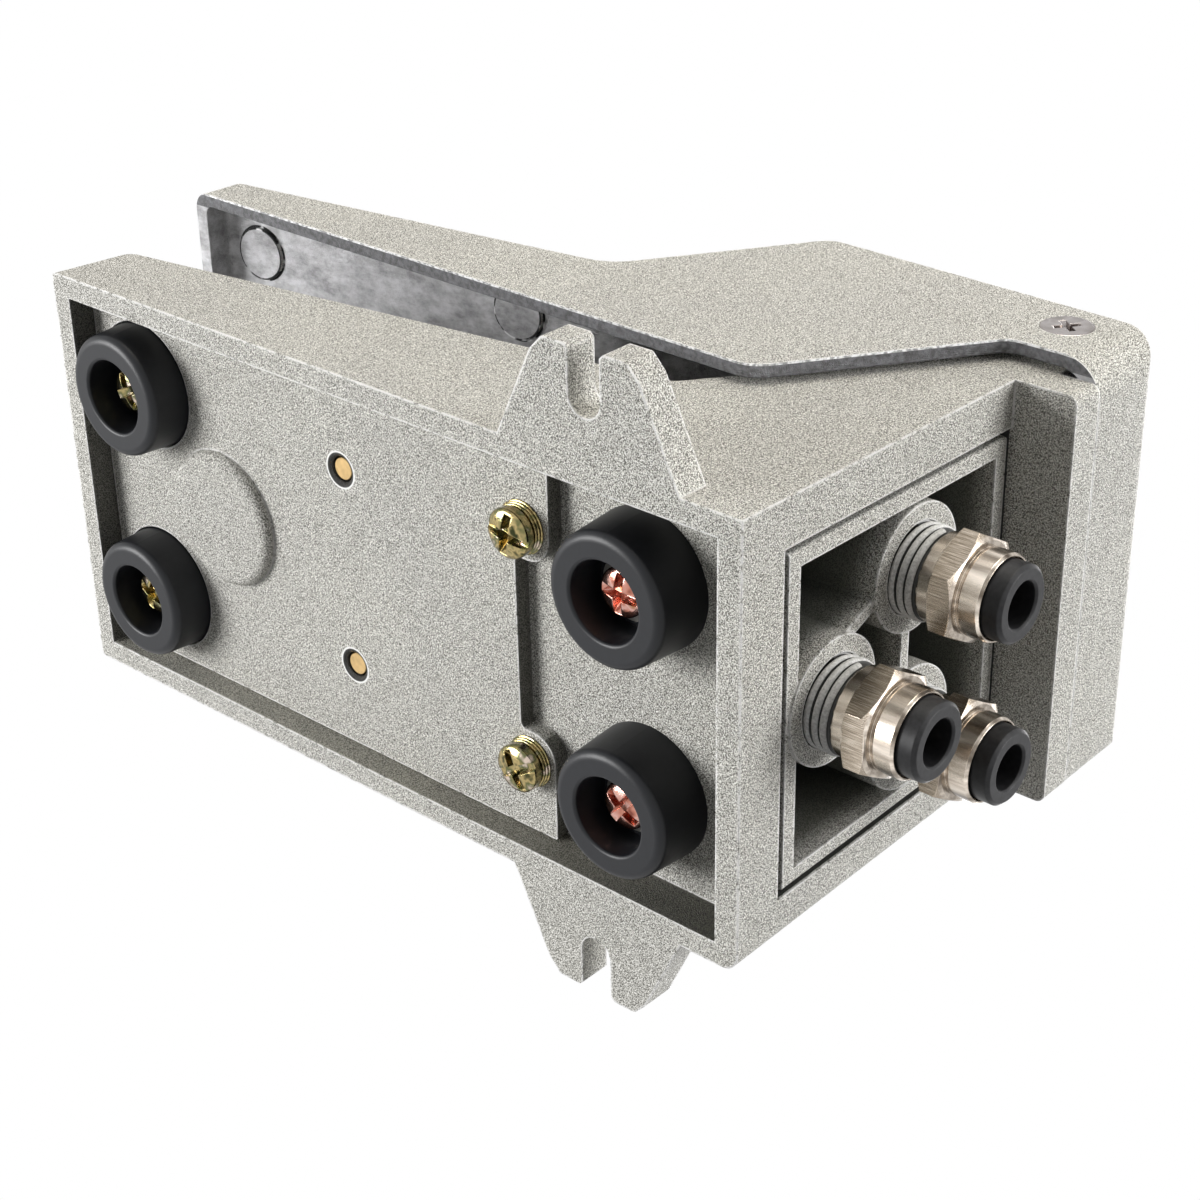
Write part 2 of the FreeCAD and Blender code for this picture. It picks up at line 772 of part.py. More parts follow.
def pedal():
    outer_half = base_half_width + skirt_offset
    shell = side_extrusion(pedal_outline(0), outer_half + 2.0)
    shell = shell.common(
        drafted_block(
            outer_half,
            pedal_front_y,
            shelf_reach,
            20.0,
            hood_front_z + 15.0,
            pedal_front_round,
            pedal_rear_round,
        )
    )
    inner_half = outer_half - skirt_wall
    room = side_extrusion(pedal_outline(1), inner_half + 2.0)
    room = room.common(
        drafted_block(
            inner_half,
            pedal_front_y + pedal_front_wall,
            shelf_reach - pedal_rear_wall,
            -20.0,
            hood_front_z + 15.0,
            1.5,
            pedal_rear_round - pedal_rear_wall,
        )
    )
    shell = shell.cut(room)

    for x in (ejector_x, -ejector_x):
        for y in (ejector_front_y, ejector_rear_y):
            under = treadle_top(y) - pedal_wall
            pad = rod_z(ejector_radius, x, y, under - ejector_height, under + pedal_wall / 2.0)
            pad.rotate(vec(x, y, under), vec(1, 0, 0), treadle_angle())
            shell = shell.fuse(pad)
    under = treadle_top(bracket_y) - pedal_wall
    hub = rod_z(spring_hub_radius, 0.0, bracket_y, under - spring_hub_height, under + pedal_wall / 2.0)
    shell = shell.fuse(hub)
    boss = rod_z(adjuster_boss_radius, 0.0, spool_y, adjuster_boss_z, roof_under(spool_y) + pedal_wall / 2.0)
    shell = shell.fuse(boss)
    shell = shell.cut(rod_z(adjuster_radius + screw_fit, 0.0, spool_y, 60.0, roof_under(spool_y)))

    bar_half = base_half_width - 9.0
    first = (pedal_front_y + treadle_rear_y) / 2.0 - grip_pitch * (grip_count - 1) / 2.0
    for i in range(grip_count):
        y = first + i * grip_pitch
        top = treadle_top(y)
        bar = block(
            -bar_half,
            bar_half,
            y - grip_width / 2.0,
            y + grip_width / 2.0,
            top - 1.0,
            top + grip_height,
        )
        bar.rotate(vec(0, y, top), vec(1, 0, 0), treadle_angle())
        shell = shell.fuse(bar)

    for side in (1.0, -1.0):
        shell = shell.cut(hinge_cone(side, hinge_running))
    return shell.removeSplitter()


# Hinge: one countersunk screw each side is the pivot. It is driven into the ear of the
# base, and the skirt turns on its cone with a small running gap.
def hinge_face(side):
    return side * (base_half_width + skirt_offset - side_slope * hinge_z)


def hinge_cone(side, gap):
    face = hinge_face(side)
    cone_depth = hinge_head_radius - screw_radius
    cone = Part.makeCone(
        hinge_head_radius + gap,
        screw_radius + gap,
        cone_depth,
        vec(face, hinge_y, hinge_z),
        vec(-side, 0, 0),
    )
    outside = Part.makeCylinder(
        hinge_head_radius + gap, 3.0, vec(face, hinge_y, hinge_z), vec(side, 0, 0)
    )
    through = Part.makeCylinder(
        screw_radius + gap, skirt_offset + 2.0, vec(face, hinge_y, hinge_z), vec(-side, 0, 0)
    )
    return cone.fuse([outside, through])


def hinge_screw(side):
    face = hinge_face(side)
    cone_depth = hinge_head_radius - screw_radius
    cone = Part.makeCone(
        hinge_head_radius,
        screw_radius,
        cone_depth,
        vec(face, hinge_y, hinge_z),
        vec(-side, 0, 0),
    )
    shank = Part.makeCylinder(
        screw_radius,
        hinge_screw_length,
        vec(face, hinge_y, hinge_z),
        vec(-side, 0, 0),
    )
    return cone.fuse(shank).removeSplitter()


def hinge_washer(side):
    near = base_half_width - side_slope * hinge_z + hinge_washer_gap
    low, high = sorted((side * near, side * (near + hinge_washer_wall)))
    washer = rod_x(hinge_washer_radius, hinge_y, hinge_z, low, high)
    return washer.cut(rod_x(screw_radius + screw_fit, hinge_y, hinge_z, low - 1.0, high + 1.0))


def adjuster_screw():
    tip = spool_stem_top + touch_gap
    top = roof_under(spool_y) - 0.3
    points = [
        (0.0, tip),
        (adjuster_radius * 0.5, tip),
        (adjuster_radius, tip + 0.8),
        (adjuster_radius, top),
        (0.0, top),
    ]
    return turned(points, 0.0, spool_y, "z")


def hexagon(across_flats, place):
    radius = across_flats / math.sqrt(3.0)
    corners = []
    for i in range(6):
        angle = math.radians(60.0 * i)
        corners.append((radius * math.cos(angle), radius * math.sin(angle), 0.0))
    return rounded_face(corners, place)


def adjuster_nut():
    z1 = adjuster_boss_z
    z0 = z1 - adjuster_nut_wall
    face = hexagon(2.0 * adjuster_nut_half, lambda u, v: vec(u, spool_y + v, z0))
    nut = face.extrude(vec(0, 0, adjuster_nut_wall))
    return nut.cut(rod_z(adjuster_radius + 0.02, 0.0, spool_y, z0 - 1.0, z1 + 1.0))


# Pedal return spring, standing on a steel bracket that is screwed to the plate.
def spring_bracket():
    z0 = floor_z
    corners = [
        (-bracket_half_length, bracket_y - bracket_half_width, 4.0),
        (bracket_half_length, bracket_y - bracket_half_width, 4.0),
        (bracket_half_length, bracket_y + bracket_half_width, 4.0),
        (-bracket_half_length, bracket_y + bracket_half_width, 4.0),
    ]
    bracket = plan_extrusion(corners, z0, z0 + bracket_wall)
    hub = rod_z(spring_hub_radius, 0.0, bracket_y, z0, z0 + bracket_wall + spring_hub_height)
    bracket = bracket.fuse(hub)
    for side in (1.0, -1.0):
        hole = rod_z(screw_radius + screw_fit, side * bracket_screw_x, bracket_y, 0.0, 20.0)
        bracket = bracket.cut(hole)
    return bracket.removeSplitter()


def bracket_screw(side):
    x = side * bracket_screw_x
    seat = floor_z + bracket_wall
    tip = plate_face_z + 0.5
    points = [
        (0.0, tip),
        (screw_radius - 0.35, tip),
        (screw_radius, tip + 0.4),
        (screw_radius, seat),
        (head_radius, seat),
        (head_radius, seat + 1.4),
        (head_radius * 0.7, seat + head_height),
        (0.0, seat + head_height),
    ]
    return turned(points, x, bracket_y, "z")


def pedal_spring():
    under = treadle_top(bracket_y) - pedal_wall
    slack = treadle_slack()
    return coil_spring(
        pedal_spring_radius,
        pedal_spring_wire / 2.0,
        pedal_spring_turns,
        0.0,
        bracket_y,
        floor_z + bracket_wall + 0.02,
        under - slack,
    )


def treadle_slack():
    """The sloping treadle touches only the front side of the spring."""
    reach = pedal_spring_radius + pedal_spring_wire / 2.0
    return reach * math.tan(math.radians(treadle_angle())) + 0.1


# Push-in fittings: brass body with a taper thread, hexagon and round head, then a seal
# ring, a steel grip ring and a release collar inside the head.
def fitting_body(x, z):
    y0 = boss_proud
    inner = y0 - thread_inside
    outer = y0 + thread_outside
    hex0 = y0 + hex_start
    hex1 = hex0 + hex_length
    end = y0 + head_end
    small = thread_radius - thread_inside * thread_taper
    large = thread_radius + thread_outside * thread_taper
    lip = collar_radius + 0.25
    body = turned(
        [
            (0.0, inner),
            (small, inner),
            (large, outer),
            (neck_radius, outer + 0.3),
            (neck_radius, hex0 + 0.5),
            (0.0, hex0 + 0.5),
        ],
        x,
        z,
        "y",
    )
    face = hexagon(hex_flats, lambda u, v: vec(x + u, hex0, z + v))
    hexagonal = face.extrude(vec(0, hex_length, 0))
    corner = hex_flats / math.sqrt(3.0)
    flat = hex_flats / 2.0
    rounding = turned(
        [
            (0.0, hex0),
            (flat - 0.2, hex0),
            (corner + 0.1, hex0 + 0.75),
            (corner + 0.1, hex1 - 0.75),
            (flat - 0.2, hex1),
            (0.0, hex1),
        ],
        x,
        z,
        "y",
    )
    hexagonal = hexagonal.common(rounding)
    head = turned(
        [
            (0.0, hex1 - 0.5),
            (fitting_head_radius - 0.15, hex1 - 0.5),
            (fitting_head_radius - 0.15, hex1 + 0.4),
            (fitting_head_radius, hex1 + 0.6),
            (fitting_head_radius, end - 0.4),
            (fitting_head_radius - 0.25, end),
            (0.0, end),
        ],
        x,
        z,
        "y",
    )
    body = body.fuse([hexagonal, head])
    socket = y0 + socket_start
    chamber = socket + socket_length
    mouth = y0 + mouth_start
    hollow = turned(
        [
            (0.0, inner - 1.0),
            (flow_radius, inner - 1.0),
            (flow_radius, socket),
            (socket_radius, socket),
            (socket_radius, chamber),
            (chamber_radius, chamber),
            (chamber_radius, mouth),
            (lip, mouth),
            (lip, end + 1.0),
            (0.0, end + 1.0),
        ],
        x,
        z,
        "y",
    )
    return body.cut(hollow).removeSplitter()


def tube_ring(x, z, start, wall, inner):
    ring = rod_y(chamber_radius - 0.03, x, z, start, start + wall)
    return ring.cut(rod_y(inner, x, z, start - 1.0, start + wall + 1.0))


def fitting_seal(x, z):
    start = boss_proud + socket_start + socket_length + 0.05
    return tube_ring(x, z, start, seal_ring_wall, socket_radius + ring_clearance)


def grip_ring_start():
    return boss_proud + socket_start + socket_length + seal_ring_wall + 0.1


def grip_ring(x, z):
    start = grip_ring_start()
    ring = tube_ring(x, z, start, grip_ring_wall, socket_radius + ring_clearance)
    for i in range(3):
        slit = block(-0.3, 0.3, -0.1, 2.0, socket_radius - 1.0, chamber_radius - 0.6)
        slit.translate(vec(0.0, start - 0.5, 0.0))
        slit.rotate(vec(0, 0, 0), vec(0, 1, 0), 120.0 * i)
        slit.translate(vec(x, 0.0, z))
        ring = ring.cut(slit)
    return ring


def release_collar(x, z):
    face = boss_proud + collar_face
    flange = face - collar_flange
    stem = grip_ring_start() + grip_ring_wall + collar_travel + collar_stem_gap
    return turned(
        [
            (collar_hole, stem),
            (collar_stem, stem),
            (collar_stem, flange),
            (collar_radius, flange),
            (collar_radius, face - 0.5),
            (collar_radius - 0.5, face),
            (collar_hole + 0.3, face),
            (collar_hole, face - 0.3),
        ],
        x,
        z,
        "y",
    )


save("base_housing", base_housing())
save("bottom_plate", bottom_plate())
save("valve_body", valve_body())
save("pedal", pedal())
foot_places = (
    ("front_foot_left", -front_foot_x, front_foot_y),
    ("front_foot_right", front_foot_x, front_foot_y),
    ("rear_foot_left", -rear_foot_x, rear_foot_y),
    ("rear_foot_right", rear_foot_x, rear_foot_y),
)
for name, x, y in foot_places:
    save(name, foot(x, y))
save("foot_washers", Part.makeCompound([foot_washer(x, y) for name, x, y in foot_places]))
foot_head_z = foot_seat_z - head_height
foot_screw_sets = (
    ("front_foot_screws", foot_places[:2], front_foot_screw_top),
    ("rear_foot_screws", foot_places[2:], rear_foot_screw_top),
)
for name, places, top_z in foot_screw_sets:
    screws = []
    for place, x, y in places:
        screws.append(pan_screw(x, y, foot_head_z, head_radius, head_height, top_z))
    save(name, Part.makeCompound(screws))
plate_head_z = plate_face_z - spring_washer_wall - plate_head_height
save(
    "plate_screws",
    Part.makeCompound(
        both_sides(
            lambda side: pan_screw(
                side * plate_screw_x,
                plate_screw_y,
                plate_head_z,
                plate_head_radius,
                plate_head_height,
                plate_screw_top,
            )
        )
    ),
)
save("plate_spring_washers", Part.makeCompound(both_sides(spring_washer)))
save("spool", spool())
save("spool_seals", spool_seals())
save("spool_spring", spool_spring())
save("end_plug", end_plug())
save("end_plug_seal", end_plug_seal())
save("guide_cap", guide_cap())
save("hinge_screws", Part.makeCompound(both_sides(hinge_screw)))
save("hinge_washers", Part.makeCompound(both_sides(hinge_washer)))
save("adjuster_screw", adjuster_screw())
save("adjuster_nut", adjuster_nut())
save("spring_bracket", spring_bracket())
save("bracket_screws", Part.makeCompound(both_sides(bracket_screw)))
save("pedal_spring", pedal_spring())
for name, x, z in valve_ports():
    save(name + "_fitting", fitting_body(x, z))
    save(name + "_tube_seal", fitting_seal(x, z))
    save(name + "_grip_ring", grip_ring(x, z))
    save(name + "_release_collar", release_collar(x, z))
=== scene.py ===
import math

import bmesh
import bpy
from mathutils import Matrix, Vector


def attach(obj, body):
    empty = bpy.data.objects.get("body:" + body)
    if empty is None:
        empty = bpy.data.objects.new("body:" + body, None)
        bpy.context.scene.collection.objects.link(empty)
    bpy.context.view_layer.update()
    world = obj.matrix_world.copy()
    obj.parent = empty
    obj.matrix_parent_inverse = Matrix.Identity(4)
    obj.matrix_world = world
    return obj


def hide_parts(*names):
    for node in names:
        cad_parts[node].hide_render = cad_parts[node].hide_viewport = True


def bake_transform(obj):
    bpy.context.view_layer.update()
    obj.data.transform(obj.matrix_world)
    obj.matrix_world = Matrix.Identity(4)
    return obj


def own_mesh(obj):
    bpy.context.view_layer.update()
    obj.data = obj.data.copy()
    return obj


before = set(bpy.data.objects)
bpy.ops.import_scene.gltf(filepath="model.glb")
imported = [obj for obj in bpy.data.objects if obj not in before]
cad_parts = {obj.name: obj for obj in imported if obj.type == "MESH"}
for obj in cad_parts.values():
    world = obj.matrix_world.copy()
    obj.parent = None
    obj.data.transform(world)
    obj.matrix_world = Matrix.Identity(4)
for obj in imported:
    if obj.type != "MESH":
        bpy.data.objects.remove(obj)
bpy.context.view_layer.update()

# Base casting. A wedge shaped die casting with drafted sides, painted all over with a
# silver grey sand texture paint whose light and dark grains are under half a millimetre.
PAINT_LIGHT = (1.0, 0.985, 0.94)
PAINT_MIDDLE = (0.57, 0.556, 0.508)
PAINT_DARK = (0.075, 0.072, 0.058)
PAINT_STOPS = ((0.41, PAINT_DARK), (0.485, PAINT_MIDDLE), (0.525, PAINT_MIDDLE), (0.59, PAINT_LIGHT))
PAINT_GRAIN = 5600.0
GRAIN_HEIGHT = 0.00032
PAINT_METAL = 0.1
PAINT_ROUGHNESS = 0.48
SLOW_TONE = ((0.35, (0.94, 0.94, 0.94)), (0.65, (1.0, 1.0, 0.99)))
WORN_EDGE_AND_HIGHLIGHT = (1.0, 0.99, 0.97)
WEAR_AND_HIGHLIGHT_PATCHES = ((0.37, (0.0, 0.0, 0.0)), (0.49, (0.95, 0.95, 0.95)))
WEAR_AND_HIGHLIGHT_REACH = 0.0008
EDGE_ROUND = 0.0004
RECESS_SHADE = 0.30
OFF_GRID = (0.55, 0.35, 0.8)


def new_material(name):
    """Material with a Principled shader; gives the material, its nodes, its links and the shader."""
    material = bpy.data.materials.new(name)
    material.use_nodes = True
    tree = material.node_tree
    shader = tree.nodes["Principled BSDF"]
    return material, tree.nodes, tree.links, shader


def noise(
    nodes, links, scale, detail=2.0, roughness=0.5, turn=OFF_GRID, stretch=(1.0, 1.0, 1.0), source="Object"
):
    """Noise in object coordinates, or on the way the surface faces, turned and stretched."""
    place = nodes.new("ShaderNodeTexCoord")
    turned = nodes.new("ShaderNodeMapping")
    turned.inputs["Rotation"].default_value = turn
    turned.inputs["Scale"].default_value = stretch
    links.new(place.outputs[source], turned.inputs["Vector"])
    texture = nodes.new("ShaderNodeTexNoise")
    texture.inputs["Scale"].default_value = scale
    texture.inputs["Detail"].default_value = detail
    texture.inputs["Roughness"].default_value = roughness
    links.new(turned.outputs["Vector"], texture.inputs["Vector"])
    return texture.outputs["Fac"]


def ramp(nodes, links, source, stops):
    """Colours picked by a number; stops are (position, colour)."""
    node = nodes.new("ShaderNodeValToRGB")
    while len(node.color_ramp.elements) < len(stops):
        node.color_ramp.elements.new(0.5)
    for element, (position, colour) in zip(node.color_ramp.elements, stops):
        element.position = position
        element.color = (colour[0], colour[1], colour[2], 1.0)
    links.new(source, node.inputs["Fac"])
    return node.outputs["Color"]


def plain_colour(nodes, colour):
    """One colour as an output."""
    node = nodes.new("ShaderNodeRGB")
    node.outputs[0].default_value = (colour[0], colour[1], colour[2], 1.0)
    return node.outputs[0]


def add_bump(nodes, links, height, distance, strength=1.0, normal=None):
    """Normal with the bumps of a height, on top of another normal where one is given."""
    bump = nodes.new("ShaderNodeBump")
    bump.inputs["Distance"].default_value = distance
    bump.inputs["Strength"].default_value = strength
    links.new(height, bump.inputs["Height"])
    if normal is not None:
        links.new(normal, bump.inputs["Normal"])
    return bump.outputs["Normal"]


def blend_colours(nodes, links, factor, first, second, way="MIX"):
    """Mix of two colours, by the mix node's colour sockets; factor is a number or an output."""
    mix = nodes.new("ShaderNodeMix")
    mix.data_type = "RGBA"
    mix.blend_type = way
    if isinstance(factor, float):
        mix.inputs["Factor"].default_value = factor
    else:
        links.new(factor, mix.inputs["Factor"])
    links.new(first, mix.inputs[6])
    links.new(second, mix.inputs[7])
    return mix.outputs[2]


def darker(nodes, links, colour, share):
    """The colour times one share, with a little less blue."""
    tone = plain_colour(nodes, (share, share, 0.94 * share))
    return blend_colours(nodes, links, 1.0, colour, tone, "MULTIPLY")


def compare(nodes, links, value, operation, limit):
    """Math node on a number and a fixed limit: 1 where the test holds, or else 0."""
    node = nodes.new("ShaderNodeMath")
    node.operation = operation
    links.new(value, node.inputs[0])
    node.inputs[1].default_value = limit
    return node.outputs[0]


def combine(nodes, links, first, operation, second):
    """Math node on two numbers that come from other nodes."""
    node = nodes.new("ShaderNodeMath")
    node.operation = operation
    links.new(first, node.inputs[0])
    links.new(second, node.inputs[1])
    return node.outputs[0]


def absolute(nodes, links, value):
    """The number without its sign."""
    node = nodes.new("ShaderNodeMath")
    node.operation = "ABSOLUTE"
    links.new(value, node.inputs[0])
    return node.outputs[0]


def rescale(nodes, links, value, start, end, low=0.0, high=1.0):
    """The number taken from the range start to end into the range low to high."""
    node = nodes.new("ShaderNodeMapRange")
    links.new(value, node.inputs["Value"])
    node.inputs["From Min"].default_value = start
    node.inputs["From Max"].default_value = end
    node.inputs["To Min"].default_value = low
    node.inputs["To Max"].default_value = high
    return node.outputs["Result"]


def object_place(nodes, links):
    """The object coordinates as outputs X, Y and Z."""
    place = nodes.new("ShaderNodeTexCoord")
    split = nodes.new("ShaderNodeSeparateXYZ")
    links.new(place.outputs["Object"], split.inputs["Vector"])
    return split.outputs


def facing(nodes, links, axis):
    """How far the surface points along one axis of the object, from -1 to 1."""
    place = nodes.new("ShaderNodeTexCoord")
    way = nodes.new("ShaderNodeSeparateXYZ")
    links.new(place.outputs["Normal"], way.inputs["Vector"])
    return way.outputs[axis]


def inside_box(nodes, links, low, high):
    """1 within the box between two corners, by object coordinates, and 0 outside it."""
    place = nodes.new("ShaderNodeTexCoord")
    shift = nodes.new("ShaderNodeVectorMath")
    shift.operation = "SUBTRACT"
    links.new(place.outputs["Object"], shift.inputs[0])
    shift.inputs[1].default_value = [0.5 * (a + b) for a, b in zip(low, high)]
    size = nodes.new("ShaderNodeVectorMath")
    size.operation = "ABSOLUTE"
    links.new(shift.outputs["Vector"], size.inputs[0])
    parts = nodes.new("ShaderNodeSeparateXYZ")
    links.new(size.outputs["Vector"], parts.inputs["Vector"])
    inside = None
    for axis, a, b in zip("XYZ", low, high):
        within = compare(nodes, links, parts.outputs[axis], "LESS_THAN", 0.5 * (b - a))
        inside = within if inside is None else combine(nodes, links, inside, "MULTIPLY", within)
    return inside


def rounded_normal(nodes, radius, samples=6):
    """Normal that turns round each edge as if the edge had this radius."""
    bevel = nodes.new("ShaderNodeBevel")
    bevel.samples = samples
    bevel.inputs["Radius"].default_value = radius
    return bevel.outputs["Normal"]


def edge_wear_and_highlight(nodes, links, radius):
    """A number that is 1 along the edges and 0 elsewhere."""
    flat = nodes.new("ShaderNodeNewGeometry")
    along = nodes.new("ShaderNodeVectorMath")
    along.operation = "DOT_PRODUCT"
    links.new(rounded_normal(nodes, radius, 8), along.inputs[0])
    links.new(flat.outputs["Normal"], along.inputs[1])
    return rescale(nodes, links, along.outputs["Value"], 0.98, 0.90)


def paint_layers(nodes, links):
    """Sand texture paint: fine light and dark grains, a slow change of tone, and near white patchy edges
    that are partly worn paint and partly painted highlight.
    """
    grain = noise(nodes, links, PAINT_GRAIN, 2.0, 0.55)
    slow = noise(nodes, links, 35.0)
    patches = noise(nodes, links, 700.0, 3.0, 0.6)
    colour = ramp(nodes, links, grain, PAINT_STOPS)
    colour = blend_colours(nodes, links, 1.0, colour, ramp(nodes, links, slow, SLOW_TONE), "MULTIPLY")
    edge_patchiness = ramp(nodes, links, patches, WEAR_AND_HIGHLIGHT_PATCHES)
    # Edges turn near white in patches: partly worn paint, partly painted highlight.
    worn_and_lit_edges = combine(nodes, links, edge_wear_and_highlight(nodes, links, WEAR_AND_HIGHLIGHT_REACH), "MULTIPLY", edge_patchiness)
    colour = blend_colours(nodes, links, worn_and_lit_edges, colour, plain_colour(nodes, WORN_EDGE_AND_HIGHLIGHT))
    normal = add_bump(nodes, links, grain, GRAIN_HEIGHT, 1.0, rounded_normal(nodes, EDGE_ROUND))
    return colour, normal


def coat(links, shader, colour, normal):
    """Gives a shader the colour, normal and gloss of the paint."""
    links.new(colour, shader.inputs["Base Color"])
    links.new(normal, shader.inputs["Normal"])
    shader.inputs["Metallic"].default_value = PAINT_METAL
    shader.inputs["Roughness"].default_value = PAINT_ROUGHNESS


def keep_creases(shape):
    """Smooth shading that stops at every edge sharper than 24 degrees."""
    for face in shape.faces:
        face.smooth = True
    for edge in shape.edges:
        edge.smooth = len(edge.link_faces) == 2 and edge.calc_face_angle(0.0) < math.radians(24.0)


def merged_copy(name):
    """The mesh of a CAD node with its doubled corners merged and its flat faces made whole."""
    copy = bmesh.new()
    copy.from_mesh(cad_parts[name].data)
    bmesh.ops.remove_doubles(copy, verts=copy.verts, dist=2e-6)
    bmesh.ops.dissolve_limit(copy, angle_limit=math.radians(0.6), verts=copy.verts, edges=copy.edges)
    keep_creases(copy)
    return copy


def finished(shape, name, material, body, slot, *replaced):
    """Makes a piece from a bmesh and hangs it on the empty of its body; without a body it is left
    unattached.
    """
    mesh = bpy.data.meshes.new(name)
    shape.to_mesh(mesh)
    shape.free()
    mesh.materials.clear()
    mesh.materials.append(material)
    piece = bpy.data.objects.new(name, mesh)
    bpy.context.scene.collection.objects.link(piece)
    if body is not None:
        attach(piece, body)
    if replaced:
        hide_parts(*replaced)
    return piece


POCKET_LOW = (-0.0262, 0.03, 0.0102)
POCKET_HIGH = (0.0262, 0.0614, 0.0612)
POCKET_PAINTED_SHADE = (0.035, 0.036, 0.031)
RECESS_LOW = (-0.0298, -0.0690, 0.00235)
RECESS_HIGH = (0.0298, 0.0582, 0.0101)
SIDE_SHADE = ((0.0, (0.85, 0.84, 0.80)), (0.55, (0.62, 0.61, 0.56)), (1.0, (0.12, 0.12, 0.10)))
SIDE_SHADE_START = -0.067
SIDE_SHADE_END = 0.058

paint, nodes, links, shader = new_material("sand_paint")
painted, paint_normal = paint_layers(nodes, links)
# Painted shade: the inside of the rear pocket is painted near black.
in_pocket = inside_box(nodes, links, POCKET_LOW, POCKET_HIGH)
colour = blend_colours(nodes, links, in_pocket, painted, plain_colour(nodes, POCKET_PAINTED_SHADE))
in_recess = inside_box(nodes, links, RECESS_LOW, RECESS_HIGH)
upright = compare(nodes, links, facing(nodes, links, "Z"), "GREATER_THAN", -0.5)
recess_wall = combine(nodes, links, in_recess, "MULTIPLY", upright)
rearward = rescale(nodes, links, object_place(nodes, links)["Y"], SIDE_SHADE_START, SIDE_SHADE_END)
side_shade = ramp(nodes, links, rearward, SIDE_SHADE)
side_wall = blend_colours(nodes, links, 1.0, colour, side_shade, "MULTIPLY")
sideways = absolute(nodes, links, facing(nodes, links, "X"))
on_side_wall = compare(nodes, links, sideways, "GREATER_THAN", 0.5)
end_wall = darker(nodes, links, colour, RECESS_SHADE)
wall = blend_colours(nodes, links, on_side_wall, end_wall, side_wall)
colour = blend_colours(nodes, links, recess_wall, colour, wall)
coat(links, shader, colour, paint_normal)

CORNER_TOP_X = -0.03174
CORNER_Y = 0.06175
CORNER_ROUND = 0.0026
CORNER_STEPS = 6
CORNER_SLACK = 0.0003
SHELF_UNDERSIDE = 0.0608
SAME_PLACE = 0.0001


def is_rear_left(edge):
    """The upright edge at the rear left of the base, below the shelf."""
    low, high = edge.verts[0].co, edge.verts[1].co
    upright = abs(high.z - low.z) > 0.9 * edge.calc_length()
    behind = max(abs(low.y - CORNER_Y), abs(high.y - CORNER_Y)) < CORNER_SLACK
    below = max(low.z, high.z) < SHELF_UNDERSIDE + SAME_PLACE
    return upright and behind and below and low.x < CORNER_TOP_X + 2.0 * SAME_PLACE


base_shape = merged_copy("base_housing")
bmesh.ops.bevel(
    base_shape,
    geom=[edge for edge in base_shape.edges if is_rear_left(edge)],
    offset=CORNER_ROUND,
    offset_type="OFFSET",
    segments=CORNER_STEPS,
    profile=0.5,
    affect="EDGES",
    clamp_overlap=True,
)
for corner in base_shape.verts:
    along = (corner.co.x - CORNER_TOP_X) / CORNER_ROUND
    at_end = abs(corner.co.z - SHELF_UNDERSIDE) < SAME_PLACE and abs(corner.co.y - CORNER_Y) < SAME_PLACE
    if at_end and -0.01 < along < 1.01:
        angle = along * math.pi / 2.0
        corner.co.x = CORNER_TOP_X + CORNER_ROUND * (1.0 - math.cos(angle))
        corner.co.y = CORNER_Y - CORNER_ROUND * (1.0 - math.sin(angle))
keep_creases(base_shape)
finished(base_shape, "base_casting", paint, "base", "base_paint", "base_housing")

# Bottom plate. A flat casting let into the recess of the base, in the same paint. Its rear
# edge is darkened as painted shade, and round the tips of the two bracket screws the holes are painted
# near black as painted shade, with a thin ring of painted highlight on their lips.
TIP_X = 0.0158
TIP_Y = -0.01335
TIP_BRIGHT = 0.0017
TIP_HOLE = 0.00262
TIP_HIGHLIGHT_EDGE = 0.00292
HOLE_PAINTED_SHADE = (0.02, 0.02, 0.017)


def dress(name, material):
    """Gives a CAD node its material."""
    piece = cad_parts[name]
    if not piece.material_slots:
        piece.data.materials.append(material)
    for place in piece.material_slots:
        place.material = material
    return piece


def distance_from(nodes, links, point, axes):
    """Distance from a point, seen along the axes that aren't given."""
    place = nodes.new("ShaderNodeCombineXYZ")
    for axis, value in axes.items():
        links.new(value, place.inputs[axis])
    offset = nodes.new("ShaderNodeVectorMath")
    offset.operation = "DISTANCE"
    links.new(place.outputs["Vector"], offset.inputs[0])
    offset.inputs[1].default_value = point
    return offset.outputs["Value"]


def tip_distance(nodes, links):
    """Distance from the axis of the nearer bracket screw."""
    place = object_place(nodes, links)
    axes = {"X": absolute(nodes, links, place["X"]), "Y": place["Y"]}
    return distance_from(nodes, links, (TIP_X, TIP_Y, 0.0), axes)


plate_paint, nodes, links, shader = new_material("plate_paint")
painted, paint_normal = paint_layers(nodes, links)
# Painted shade on the plate's rear edge.
rear_half = compare(nodes, links, object_place(nodes, links)["Y"], "GREATER_THAN", 0.0)
rear_edge = compare(nodes, links, facing(nodes, links, "Y"), "GREATER_THAN", 0.5)
rear_edge = combine(nodes, links, rear_edge, "MULTIPLY", rear_half)
colour = blend_colours(nodes, links, rear_edge, painted, darker(nodes, links, painted, RECESS_SHADE))
# Painted shade in the hole round each bracket screw tip, with a ring of painted highlight on its lip.
from_tip = tip_distance(nodes, links)
rim_highlight = compare(nodes, links, from_tip, "LESS_THAN", TIP_HIGHLIGHT_EDGE)
colour = blend_colours(nodes, links, rim_highlight, colour, plain_colour(nodes, WORN_EDGE_AND_HIGHLIGHT))
in_hole = compare(nodes, links, from_tip, "LESS_THAN", TIP_HOLE)
colour = blend_colours(nodes, links, in_hole, colour, plain_colour(nodes, HOLE_PAINTED_SHADE))
coat(links, shader, colour, paint_normal)
dress("bottom_plate", plate_paint)

